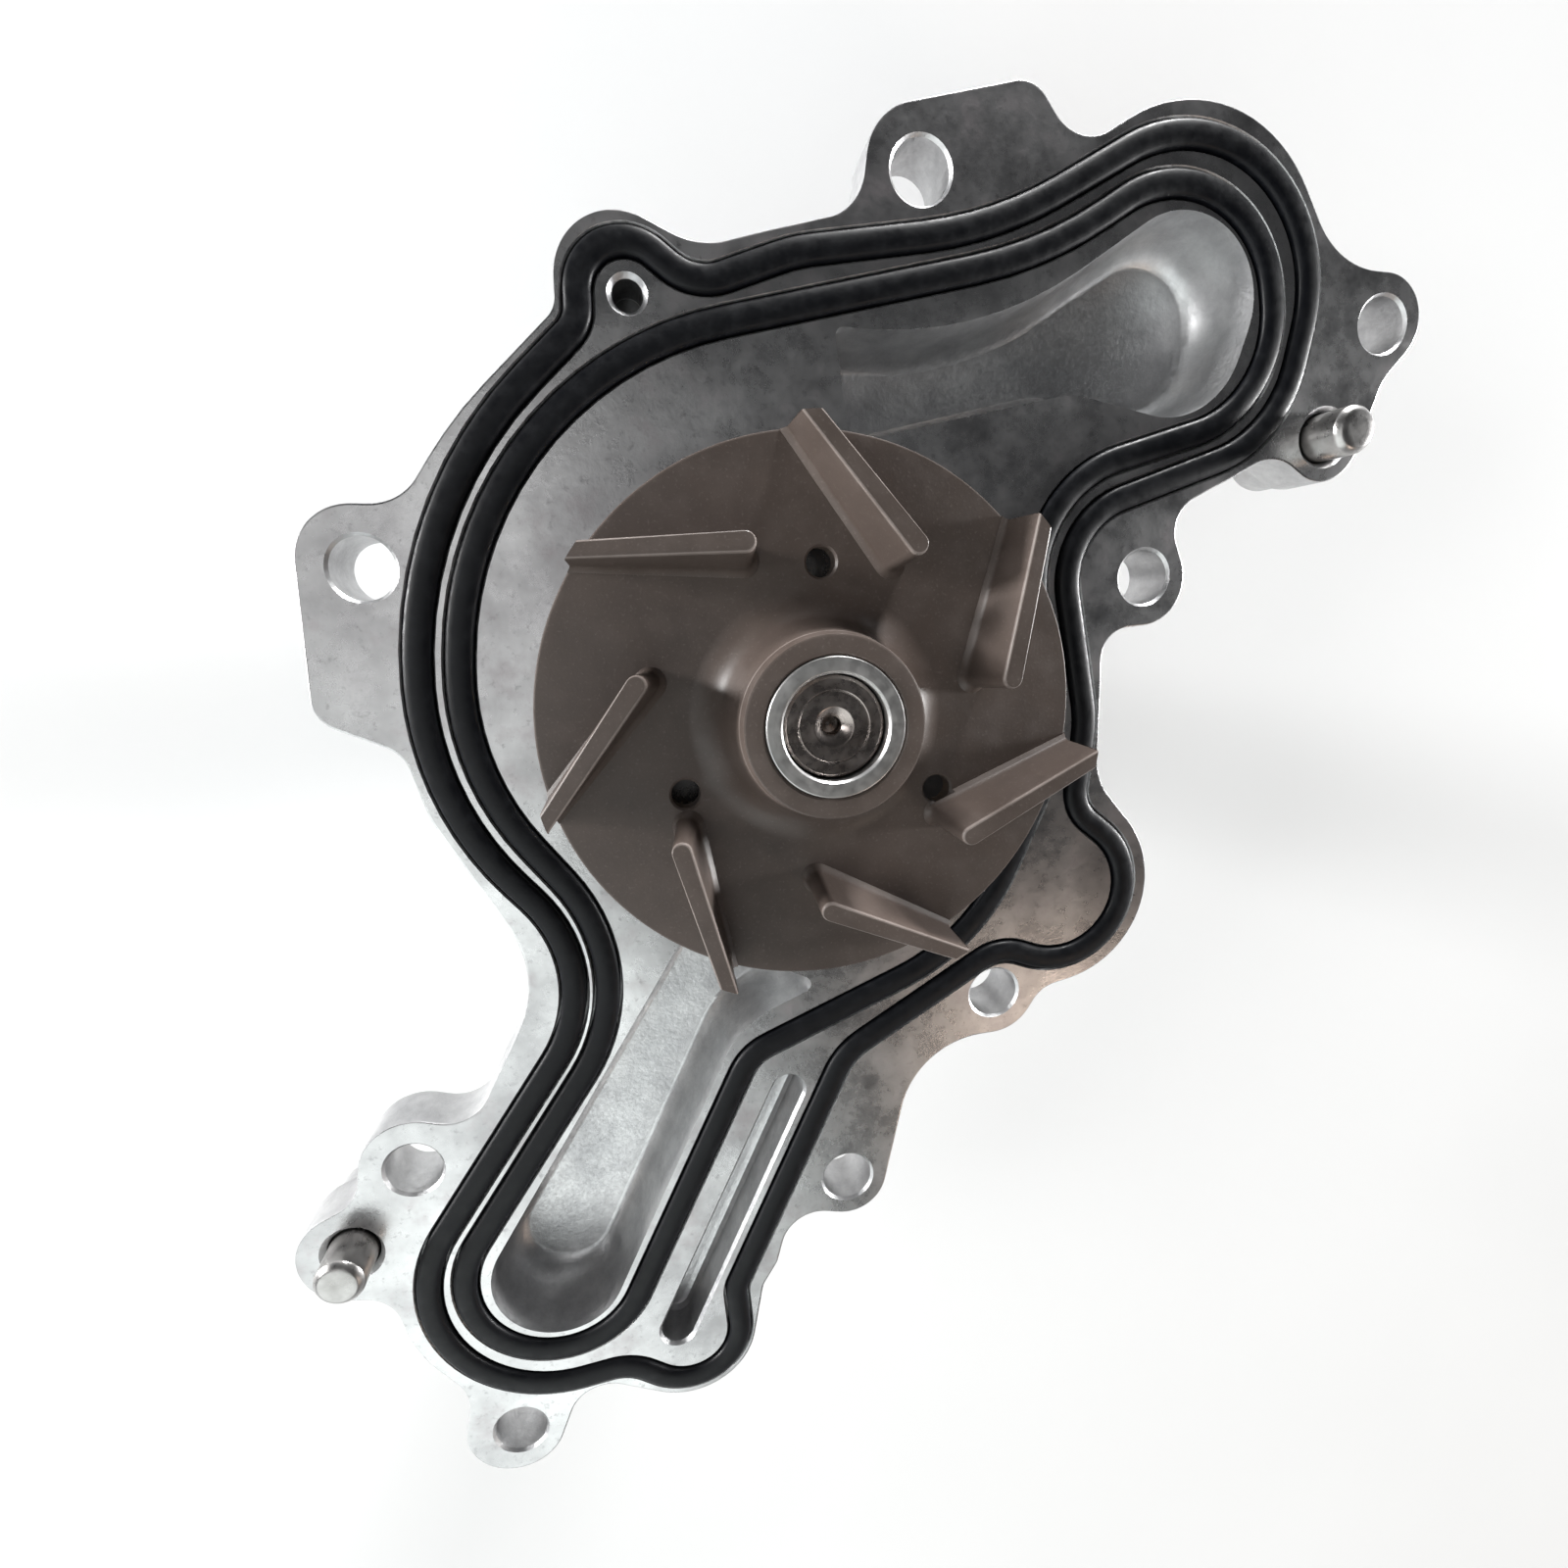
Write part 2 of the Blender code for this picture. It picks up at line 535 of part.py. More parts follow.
def impeller(material):
    """Disc and hub turned in one, with vanes trimmed to the disc's rim and three balance holes."""
    under = FACE_Z + DISC_TOP - DISC_THICK
    top = FACE_Z + DISC_TOP
    bore = 9.9
    profile = [(14.3, under), (IMPELLER_R, under), (IMPELLER_R, top), (19.0, top), (16.2, top + 0.8),
               (14.6, top + 2.6), (13.6, top + 5.5), (12.9, FACE_Z + HUB_TOP - 0.4),
               (12.5, FACE_Z + HUB_TOP), (bore, FACE_Z + HUB_TOP), (bore, top + 0.2), (14.3, top + 0.2)]
    wheel = turned_ring("impeller", profile, 64)
    trim = turned_ring("trim", [(IMPELLER_R, under), (60.0, under), (60.0, top + 20.0),
                                (IMPELLER_R, top + 20.0)], 64)
    blades = [vane(360.0 * index / VANES) for index in range(VANES)]
    first = combine(blades[0], blades[1:], "UNION")
    combine(first, [trim], "DIFFERENCE")
    combine(wheel, [first], "UNION")
    holes = []
    for index in range(3):
        centre = polar(BALANCE_HOLE_RADIUS, BALANCE_HOLE_ANGLE + 120.0 * index)
        holes.append(cylinder("balance", centre, BALANCE_HOLE_R, under - 1.0, top + 1.0, 14))
    combine(wheel, holes, "DIFFERENCE")
    return finish(wheel, material)


def impeller_insert(material):
    low, high = FACE_Z + 3.0, FACE_Z + HUB_TOP + 0.2
    inner = SHAFT_TIP_R + GAP
    profile = [(inner, low), (9.6, low), (9.6, high - 0.3), (9.3, high), (inner + 0.5, high),
               (inner, high - 0.5)]
    return finish(turned_ring("impeller_insert", profile, 40), material)


def mating_ring(material):
    profile = [(10.4, FACE_Z + 3.5), (13.0, FACE_Z + 3.5), (13.0, FACE_Z + 7.0), (10.4, FACE_Z + 7.0)]
    return finish(turned_ring("mating_ring", profile, RING_SIDES), material)


def mating_ring_boot(material):
    profile = [(13.3, FACE_Z + 5.3), (14.0, FACE_Z + 5.3), (14.0, FACE_Z + 7.9), (10.4, FACE_Z + 7.9),
               (10.4, FACE_Z + 7.3), (13.3, FACE_Z + 7.3)]
    return finish(turned_ring("mating_ring_boot", profile, RING_SIDES), material)


def slinger(material):
    low = FACE_Z - 15.0
    profile = [(8.3, low), (10.0, low), (12.6, low + 0.9), (12.6, low + 1.6), (9.4, low + 0.7),
               (9.4, low + 1.9), (8.3, low + 1.9)]
    return finish(turned_ring("slinger", profile, RING_SIDES), material)


def pulley_hub(material):
    """Steel flange pressed on the shaft, with four threaded holes for the pulley."""
    inner = SHAFT_R + GAP
    profile = [(inner, 0.0), (HUB_R - 0.8, 0.0), (HUB_R, 0.8), (HUB_R, HUB_THICK - 0.8),
               (HUB_R - 0.8, HUB_THICK), (18.0, HUB_THICK), (15.0, HUB_THICK + 2.0),
               (14.2, HUB_BOSS_TOP - 0.8), (13.4, HUB_BOSS_TOP), (inner, HUB_BOSS_TOP)]
    hub = turned_ring("pulley_hub", profile, 48)
    holes = []
    for index in range(4):
        centre = polar(HUB_PCD_R, 45.0 + 90.0 * index)
        holes.append(cylinder("thread", centre, HUB_THREAD_R, -1.0, HUB_THICK + 1.0, 18))
    return finish(combine(hub, holes, "DIFFERENCE"), material)


# ---------------------------------------------------------------- rolling elements
def bearing_balls(material):
    for index in range(ROLLING_COUNT):
        shape = bmesh.new()
        bmesh.ops.create_uvsphere(shape, u_segments=10, v_segments=6, radius=BALL_R)
        x, y = polar(ROLLING_RADIUS, 360.0 * index / ROLLING_COUNT)
        bmesh.ops.translate(shape, verts=shape.verts, vec=(x, y, BALL_Z))
        finish(new_object(f"bearing_ball_{index + 1}", shape), material, 80.0)


def bearing_rollers(material):
    half = ROLLER_LENGTH / 2.0
    for index in range(ROLLING_COUNT):
        centre = polar(ROLLING_RADIUS, 360.0 * index / ROLLING_COUNT)
        narrow = circle_points(ROLLER_R - 0.3, 12, centre)
        full = circle_points(ROLLER_R, 12, centre)
        rings = [(narrow, ROLLER_Z - half), (full, ROLLER_Z - half + 0.3),
                 (full, ROLLER_Z + half - 0.3), (narrow, ROLLER_Z + half)]
        finish(stack(f"bearing_roller_{index + 1}", rings), material)


def crown_cage(name, low, base_top, finger_top, material):
    """Ring beside the rolling elements with one finger between each pair of them."""
    pitch = 360.0 / ROLLING_COUNT
    half = 3.6
    stations = []
    for index in range(ROLLING_COUNT):
        middle = pitch * (index + 0.5)
        for angle, level in ((-half - 0.8, base_top), (-half, finger_top), (half, finger_top),
                             (half + 0.8, base_top)):
            stations.append((middle + angle, level))
        stations.append((middle + pitch / 2.0, base_top))
    shape = bmesh.new()
    columns = []
    for angle, level in stations:
        inner, outer = polar(9.6, angle), polar(11.2, angle)
        columns.append([shape.verts.new((*inner, low)), shape.verts.new((*outer, low)),
                        shape.verts.new((*outer, level)), shape.verts.new((*inner, level))])
    for index, column in enumerate(columns):
        following = columns[(index + 1) % len(columns)]
        for corner in range(4):
            after = (corner + 1) % 4
            shape.faces.new((column[corner], column[after], following[after], following[corner]))
    return finish(new_object(name, shape), material)


# ---------------------------------------------------------------- assembly
def build():
    clear_scene()
    cast = make_material("cast_aluminium", (0.62, 0.63, 0.64), 0.42, 1.0)
    rubber = make_material("seal_rubber", (0.012, 0.013, 0.016), 0.55, 0.0)
    steel = make_material("ground_steel", (0.68, 0.68, 0.66), 0.22, 1.0)
    dark_steel = make_material("bearing_steel", (0.45, 0.45, 0.46), 0.3, 1.0)
    moulding = make_material("impeller_moulding", (0.115, 0.085, 0.072), 0.62, 0.1)
    brass = make_material("seal_brass", (0.72, 0.5, 0.22), 0.32, 1.0)
    carbon = make_material("seal_carbon", (0.03, 0.03, 0.032), 0.4, 0.0)
    ceramic = make_material("seal_ceramic", (0.86, 0.83, 0.76), 0.3, 0.0)
    plastic = make_material("cage_plastic", (0.06, 0.05, 0.045), 0.5, 0.0)

    pump_body(cast)
    face_seal("outer_seal", OUTER_SEAL, rubber)
    face_seal("inner_seal", INNER_SEAL, rubber)
    for name in DOWELS:
        dowel_pin(name, steel)
    bearing_outer_race(dark_steel)
    bearing_seal("bearing_seal_front", RACE_Z[1] - 2.4, rubber)
    bearing_seal("bearing_seal_rear", RACE_Z[0] + 1.4, rubber)
    seal_cup(brass)
    seal_bellows(rubber)
    seal_spring(steel)
    weep_cap(plastic)

    carbon_ring(carbon)
    seal_retainer(steel)

    shaft(steel)
    impeller(moulding)
    impeller_insert(steel)
    mating_ring(ceramic)
    mating_ring_boot(rubber)
    slinger(steel)
    pulley_hub(dark_steel)

    bearing_balls(steel)
    crown_cage("ball_cage", BALL_Z - 4.4, BALL_Z - 3.2, BALL_Z + 1.2, plastic)
    bearing_rollers(steel)
    crown_cage("roller_cage", ROLLER_Z - 6.4, ROLLER_Z - 5.0, ROLLER_Z + 4.0, plastic)


build()
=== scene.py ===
# %% [markdown]
# # Water pump for a car engine
# The pump's solids are already exact, so this scene only gives them their looks.
# Each visible piece is drawn again with rounder edges and finer curves, in the same frame, and rides
# on the body that carries it.  Lengths are in millimetres in the lists and MM turns them into metres.

# %% Set up
import json
import math

import bmesh
import bpy
from mathutils import Matrix, Vector


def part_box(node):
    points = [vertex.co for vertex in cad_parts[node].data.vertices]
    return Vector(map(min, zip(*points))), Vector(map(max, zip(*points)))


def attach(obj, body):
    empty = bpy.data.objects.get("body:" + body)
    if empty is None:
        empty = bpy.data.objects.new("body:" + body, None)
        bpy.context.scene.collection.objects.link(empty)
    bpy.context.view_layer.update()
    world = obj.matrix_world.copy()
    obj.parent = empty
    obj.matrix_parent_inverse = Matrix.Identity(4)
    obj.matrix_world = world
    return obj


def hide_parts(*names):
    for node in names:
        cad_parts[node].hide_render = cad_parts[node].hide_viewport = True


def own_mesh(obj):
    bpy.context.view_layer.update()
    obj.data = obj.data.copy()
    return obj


MM = 0.001
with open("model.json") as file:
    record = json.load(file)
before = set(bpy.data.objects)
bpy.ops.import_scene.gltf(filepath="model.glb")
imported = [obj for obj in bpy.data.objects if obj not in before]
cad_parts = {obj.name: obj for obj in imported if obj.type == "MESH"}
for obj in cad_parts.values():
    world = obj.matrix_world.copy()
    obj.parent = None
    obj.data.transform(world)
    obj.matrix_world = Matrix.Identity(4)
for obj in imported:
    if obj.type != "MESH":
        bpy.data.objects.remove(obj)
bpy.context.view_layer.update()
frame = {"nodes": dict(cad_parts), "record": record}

# %% [markdown]
# ## Driving dimensions
# Heights are measured from the pulley hub's seating face.  The flat face that bolts to the engine is
# the top of the cast body, so it is read from the solid.

# %% Driving dimensions
FACE_Z = round(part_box("pump_body")[1].z / MM, 3)
FLANGE_THICK = 9.0
GAP = 0.3
BOLT_HOLE_R = 4.5
BOLT_PAD_R = 7.2
BOLT_PAD_Z = FACE_Z - 10.5
DOWEL_R = 3.9
DOWEL_TOP = FACE_Z + 6.5
DOWEL_LOW = FACE_Z - 10.0
DRAIN_HOLE = (-26.1, 59.7)
DRAIN_R = 2.2
DRAIN_DEPTH = 7.5
SEAL_WIDTH = 3.9
SEAL_PROUD = 0.9
GROOVE_DEPTH = 3.0
POCKET_DEPTH = 12.5
POCKET_WALL = 3.6
INSIDE_FLANGE_Z = FACE_Z - 5.0
BEARING_SEAT_R = 15.3
IMPELLER_R = 41.3
DISC_TOP = FACE_Z + 8.0
DISC_LOW = FACE_Z + 5.0
VANE_TOP = FACE_Z + 18.0
HUB_TOP = FACE_Z + 20.0
SHAFT_TOP = FACE_Z + 18.6
VANES = 7
VANE_TIP_REACH = 43.4
VANE_TIP_ANGLE = 148.0
VANE_ROOT_ANGLE = 116.0
BALANCE_HOLES = 3
BALANCE_HOLE_R = 2.2
BALANCE_CIRCLE_R = 22.9
BALANCE_FIRST_ANGLE = 89.0
HUB_SCREWS = 4
HUB_CIRCLE_R = 23.0
HUB_FIRST_ANGLE = 45.0
LOBE = "lobe"
HOLLOW = "hollow"
BOLT_HOLES = [(-64.3, 21.7), (16.8, 79.2), (99.7, 63.9), (58.7, 21.8),
              (-52.2, -129.8), (-65.7, -74.4), (35.4, -52.4), (8.3, -86.7)]
DOWELS = {"dowel_pin_lower": (-76.4, -88.6), "dowel_pin_upper": (91.0, 45.5)}

# %% [markdown]
# ## Outlines
# A casting's edge is all arcs and straight runs, because a pattern maker files round bosses and blends
# them.  Each outline is a tight belt round a chain of circles, clockwise: x, y, radius, and whether the
# belt runs round the circle's outside or hollows round it.  Moving the belt in or out keeps its corner
# count, so rounded edges come from a few extra rings.

# %% Outlines
FLANGE = [
    (-27.0, 61.2, 9.2, LOBE), (-15.3, 79.3, 12.0, HOLLOW), (-1.7, 49.3, 20.7, LOBE),
    (1.2, 78.9, 7.0, HOLLOW), (16.9, 79.8, 8.5, LOBE), (32.2, 87.6, 5.0, LOBE),
    (42.9, 93.4, 6.9, HOLLOW), (62.5, 69.5, 23.8, LOBE), (97.4, 86.9, 14.8, HOLLOW),
    (99.7, 64.6, 7.5, LOBE), (110.2, 50.4, 9.7, HOLLOW), (91.0, 45.5, 7.3, LOBE),
    (81.5, 34.2, 7.3, HOLLOW), (73.7, 39.1, 0.8, LOBE), (69.9, 29.7, 5.8, HOLLOW),
    (58.7, 21.4, 7.8, LOBE), (57.2, 8.3, 5.1, HOLLOW), (63.4, -9.1, 10.6, HOLLOW),
    (46.1, -33.2, 18.4, LOBE), (49.0, -57.9, 6.3, HOLLOW), (35.3, -52.0, 8.5, LOBE),
    (34.3, -76.6, 16.0, HOLLOW), (8.4, -86.9, 7.4, LOBE), (2.8, -100.2, 6.8, HOLLOW),
    (-7.1, -101.9, 2.4, LOBE), (-3.1, -108.9, 4.6, HOLLOW), (-21.9, -115.4, 12.9, LOBE),
    (-36.9, -130.0, 6.6, HOLLOW), (-53.0, -129.7, 8.6, LOBE), (-68.9, -122.9, 8.3, HOLLOW),
    (-45.6, -99.1, 24.8, LOBE), (-76.4, -104.2, 6.3, HOLLOW), (-76.9, -89.3, 8.3, LOBE),
    (-80.5, -75.2, 6.0, HOLLOW), (-65.5, -74.4, 8.8, LOBE), (-59.5, -60.0, 6.7, HOLLOW),
    (-65.6, -42.9, 19.8, HOLLOW), (-39.4, -7.3, 20.5, LOBE), (-66.2, -9.4, 5.9, HOLLOW),
    (-68.1, 3.3, 5.0, LOBE), (-64.9, 22.4, 8.2, LOBE), (-62.9, 38.5, 7.9, HOLLOW),
    (1.7, -0.3, 67.4, LOBE), (-40.0, 58.8, 3.8, HOLLOW)]

OUTER_SEAL = [
    (-26.1, 59.6, 6.9, LOBE), (-15.5, 70.7, 8.3, HOLLOW), (5.6, 40.1, 27.9, LOBE),
    (5.4, 135.6, 66.1, HOLLOW), (61.6, 65.5, 22.9, LOBE), (63.5, 59.8, 20.2, LOBE),
    (58.4, 21.6, 13.8, HOLLOW), (28.1, -4.0, 21.5, LOBE), (56.4, -14.7, 7.5, HOLLOW),
    (46.6, -33.3, 13.2, LOBE), (37.0, -53.0, 8.6, HOLLOW), (17.3, -70.0, 12.6, HOLLOW),
    (-6.5, -107.8, 6.1, HOLLOW), (-21.7, -115.0, 9.7, LOBE), (-34.6, -129.7, 9.7, HOLLOW),
    (-43.6, -99.1, 21.8, LOBE), (-62.1, -44.5, 23.5, HOLLOW), (-10.8, 4.7, 47.5, LOBE),
    (2.9, 4.8, 61.2, LOBE), (-38.1, 57.6, 5.1, HOLLOW)]

INNER_SEAL = [
    (0.5, 5.8, 52.9, LOBE), (8.6, 132.8, 68.2, HOLLOW), (60.0, 63.6, 17.9, LOBE),
    (60.7, 61.9, 17.6, LOBE), (58.4, 22.0, 19.6, HOLLOW), (16.7, -6.0, 26.8, LOBE),
    (3.2, -14.8, 36.0, LOBE), (-2.9, -66.7, 9.1, HOLLOW), (-44.1, -98.4, 15.3, LOBE),
    (-63.0, -44.4, 29.8, HOLLOW), (-11.3, 4.8, 41.2, LOBE)]

UPPER_POCKET = [
    (5.5, 56.2, 1.3, LOBE), (9.1, 117.4, 60.0, HOLLOW), (61.4, 64.9, 13.0, LOBE),
    (59.9, 60.6, 13.3, LOBE), (43.6, 40.9, 9.0, HOLLOW), (7.9, 43.2, 1.6, LOBE)]
UPPER_FLOOR = [
    (8.5, 53.2, 1.0, LOBE), (9.1, 117.4, 63.0, HOLLOW), (60.6, 64.6, 9.4, LOBE),
    (59.0, 60.8, 9.6, LOBE), (43.6, 40.9, 12.0, HOLLOW), (11.0, 46.0, 1.0, LOBE)]

LOWER_POCKET = [
    (-18.9, -40.1, 3.0, LOBE), (-0.4, -47.6, 1.5, LOBE), (1.1, -66.6, 16.5, HOLLOW),
    (-43.9, -98.9, 11.4, LOBE)]
LOWER_FLOOR = [
    (-18.3, -45.6, 2.0, LOBE), (-8.5, -47.8, 1.5, LOBE), (-0.6, -66.6, 18.3, HOLLOW),
    (-42.9, -98.1, 7.2, LOBE)]

SLOT = [(-2.9, -67.6, 2.8, LOBE), (-23.5, -113.9, 3.0, LOBE)]
SLOT_DEPTH = 8.0

# %% [markdown]
# ## Belt helpers
# A belt is worked out as arcs first and turned into points last.  Every belt of one outline therefore
# has the same number of points, however far it is moved.

# %% Belt helpers
def belt_arcs(circles, offset=0.0):
    """Centre, reach, start angle and turn of each arc of the belt, moved outwards by offset."""
    rings = [(x, y, radius + offset if side == LOBE else offset - radius) for x, y, radius, side in circles]
    headings = []
    for (x0, y0, reach0), (x1, y1, reach1) in zip(rings, rings[1:] + rings[:1]):
        lean = math.asin((reach0 - reach1) / math.hypot(x1 - x0, y1 - y0))
        headings.append(math.atan2(y1 - y0, x1 - x0) - lean)
    arcs = []
    for index, (x, y, reach) in enumerate(rings):
        turn = headings[index] - headings[index - 1]
        turn = -((-turn) % math.tau) if circles[index][3] == LOBE else turn % math.tau
        arcs.append((x, y, reach, headings[index - 1] + math.pi / 2.0, turn))
    return arcs


def arc_steps(circles, step_degrees=5.0):
    return [max(1, math.ceil(abs(arc[4]) / math.radians(step_degrees))) for arc in belt_arcs(circles)]


def belt_points(circles, steps, offset=0.0):
    points = []
    for (x, y, reach, start, turn), count in zip(belt_arcs(circles, offset), steps):
        for index in range(count + 1):
            angle = start + turn * index / count
            points.append((x + reach * math.cos(angle), y + reach * math.sin(angle)))
    return points


def mixed(circles, others, share):
    return [(x0 + (x1 - x0) * share, y0 + (y1 - y0) * share, r0 + (r1 - r0) * share, side)
            for (x0, y0, r0, side), (x1, y1, r1, _) in zip(circles, others)]


def circle_points(radius, segments, centre=(0.0, 0.0)):
    return [(centre[0] + radius * math.cos(math.tau * i / segments),
             centre[1] + radius * math.sin(math.tau * i / segments)) for i in range(segments)]


def polar(radius, degrees):
    return radius * math.cos(math.radians(degrees)), radius * math.sin(math.radians(degrees))


# %% [markdown]
# ## Mesh helpers
# Three builders make nearly everything: a stack of flat rings, a hoop whose section is closed, and
# turned pieces, which are both of these with round rings.

# %% Mesh helpers
def new_object(name, shape):
    """A bmesh in millimetres becomes an object in metres with its faces pointing out."""
    bmesh.ops.remove_doubles(shape, verts=shape.verts, dist=0.004)
    bmesh.ops.recalc_face_normals(shape, faces=shape.faces)
    if shape.calc_volume(signed=True) < 0.0:
        bmesh.ops.reverse_faces(shape, faces=shape.faces)
    bmesh.ops.scale(shape, vec=(MM, MM, MM), verts=shape.verts)
    mesh = bpy.data.meshes.new(name)
    shape.to_mesh(mesh)
    shape.free()
    item = bpy.data.objects.new(name, mesh)
    bpy.context.scene.collection.objects.link(item)
    return item


def join_rings(shape, lower, upper):
    for index in range(len(lower)):
        after = (index + 1) % len(lower)
        shape.faces.new((lower[index], lower[after], upper[after], upper[index]))


def stack(name, rings):
    """Solid through flat rings of (points, z), closed at both ends."""
    shape = bmesh.new()
    loops = [[shape.verts.new((x, y, z)) for x, y in points] for points, z in rings]
    for lower, upper in zip(loops, loops[1:]):
        join_rings(shape, lower, upper)
    shape.faces.new(loops[0])
    shape.faces.new(loops[-1])
    return new_object(name, shape)


def hoop(name, rings):
    """Closed hoop whose cross-section is the cycle of rings."""
    shape = bmesh.new()
    loops = [[shape.verts.new((x, y, z)) for x, y in points] for points, z in rings]
    for lower, upper in zip(loops, loops[1:] + loops[:1]):
        join_rings(shape, lower, upper)
    return new_object(name, shape)


def turned_ring(name, profile, segments=128):
    return hoop(name, [(circle_points(radius, segments), z) for radius, z in profile])


def turned_solid(name, profile, segments=96, centre=(0.0, 0.0)):
    return stack(name, [(circle_points(radius, segments, centre), z) for radius, z in profile])


def combine(target, others, operation):
    bpy.context.view_layer.objects.active = target
    for other in others:
        step = target.modifiers.new("step", "BOOLEAN")
        step.operation = operation
        step.solver = "EXACT"
        step.object = other
        bpy.ops.object.modifier_apply(modifier=step.name)
        bpy.data.objects.remove(other, do_unlink=True)
    return target


def finish_piece(item, material, body, *nodes, angle=28.0):
    """Shade, paint and attach a piece, which then stands for its solids."""
    item.data.materials.clear()
    item.data.materials.append(material)
    item.data.shade_smooth()
    item.data.set_sharp_from_angle(angle=math.radians(angle))
    flat = item.modifiers.new("flat_faces_stay_flat", "WEIGHTED_NORMAL")
    flat.keep_sharp = True
    flat.weight = 100
    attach(item, body)
    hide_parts(*nodes)
    print(item.name, "has", len(item.data.polygons), "faces")
    return item


# %% [markdown]
# ## Finish helpers
# A finish is a shader with noise at several scales.  Broad noise stains it, fine noise gives grain, and
# both go into roughness and bump as well as colour, as they do on real metal.

# %% Finish helpers
class Finish:
    """A material whose nodes are added one call at a time."""

    def __init__(self, name, metallic):
        self.material = bpy.data.materials.new(name)
        self.material.use_nodes = True
        self.tree = self.material.node_tree
        self.shader = self.tree.nodes["Principled BSDF"]
        self.shader.inputs["Metallic"].default_value = metallic
        self.place = self.tree.nodes.new("ShaderNodeTexCoord")
        self.normal = None

    def put(self, socket, value):
        if isinstance(value, bpy.types.NodeSocket):
            self.tree.links.new(value, socket)
        else:
            socket.default_value = value

    def noise(self, scale, detail=4.0, roughness=0.6, stretch=(1.0, 1.0, 1.0)):
        mapping = self.tree.nodes.new("ShaderNodeMapping")
        mapping.inputs["Scale"].default_value = stretch
        self.tree.links.new(self.place.outputs["Object"], mapping.inputs["Vector"])
        node = self.tree.nodes.new("ShaderNodeTexNoise")
        node.inputs["Scale"].default_value = scale
        node.inputs["Detail"].default_value = detail
        node.inputs["Roughness"].default_value = roughness
        self.tree.links.new(mapping.outputs["Vector"], node.inputs["Vector"])
        return node.outputs["Fac"]

    def rings(self, scale, distortion=0.0):
        """Turning marks, circles round the object's Z axis."""
        node = self.tree.nodes.new("ShaderNodeTexWave")
        node.wave_type = "RINGS"
        node.rings_direction = "Z"
        node.inputs["Scale"].default_value = scale
        node.inputs["Distortion"].default_value = distortion
        node.inputs["Detail"].default_value = 3.0
        self.tree.links.new(self.place.outputs["Object"], node.inputs["Vector"])
        return node.outputs["Fac"]

    def ramp(self, factor, low, high, start=0.3, end=0.7):
        node = self.tree.nodes.new("ShaderNodeMapRange")
        node.inputs["From Min"].default_value = start
        node.inputs["From Max"].default_value = end
        node.inputs["To Min"].default_value = low
        node.inputs["To Max"].default_value = high
        self.tree.links.new(factor, node.inputs["Value"])
        return node.outputs["Result"]

    def math(self, operation, first, second):
        node = self.tree.nodes.new("ShaderNodeMath")
        node.operation = operation
        self.put(node.inputs[0], first)
        self.put(node.inputs[1], second)
        return node.outputs[0]

    def mix(self, factor, first, second):
        node = self.tree.nodes.new("ShaderNodeMix")
        node.data_type = "RGBA"
        self.put(node.inputs["Factor"], factor)
        self.put(node.inputs["A"], (*first, 1.0) if isinstance(first, tuple) else first)
        self.put(node.inputs["B"], (*second, 1.0) if isinstance(second, tuple) else second)
        return node.outputs["Result"]

    def blend(self, factor, first, second):
        node = self.tree.nodes.new("ShaderNodeMix")
        self.put(node.inputs["Factor"], factor)
        self.put(node.inputs["A"], first)
        self.put(node.inputs["B"], second)
        return node.outputs["Result"]

    def near_axis(self, x, y, near, far, share):
        """A mask round an upright axis: share inside the near radius, nothing beyond the far one."""
        flatten = self.tree.nodes.new("ShaderNodeVectorMath")
        flatten.operation = "MULTIPLY"
        flatten.inputs[1].default_value = (1.0, 1.0, 0.0)
        self.tree.links.new(self.place.outputs["Object"], flatten.inputs[0])
        reach = self.tree.nodes.new("ShaderNodeVectorMath")
        reach.operation = "DISTANCE"
        reach.inputs[1].default_value = (x * MM, y * MM, 0.0)
        self.tree.links.new(flatten.outputs["Vector"], reach.inputs[0])
        return self.ramp(reach.outputs["Value"], share, 0.0, near * MM, far * MM)

    def bump(self, height, depth_mm, strength=1.0):
        node = self.tree.nodes.new("ShaderNodeBump")
        node.inputs["Distance"].default_value = depth_mm * MM
        self.put(node.inputs["Strength"], strength)
        self.tree.links.new(height, node.inputs["Height"])
        if self.normal is not None:
            self.tree.links.new(self.normal, node.inputs["Normal"])
        self.normal = node.outputs["Normal"]

    def done(self, colour, roughness):
        self.put(self.shader.inputs["Base Color"], colour)
        self.put(self.shader.inputs["Roughness"], roughness)
        if self.normal is not None:
            self.tree.links.new(self.normal, self.shader.inputs["Normal"])
        return self.material
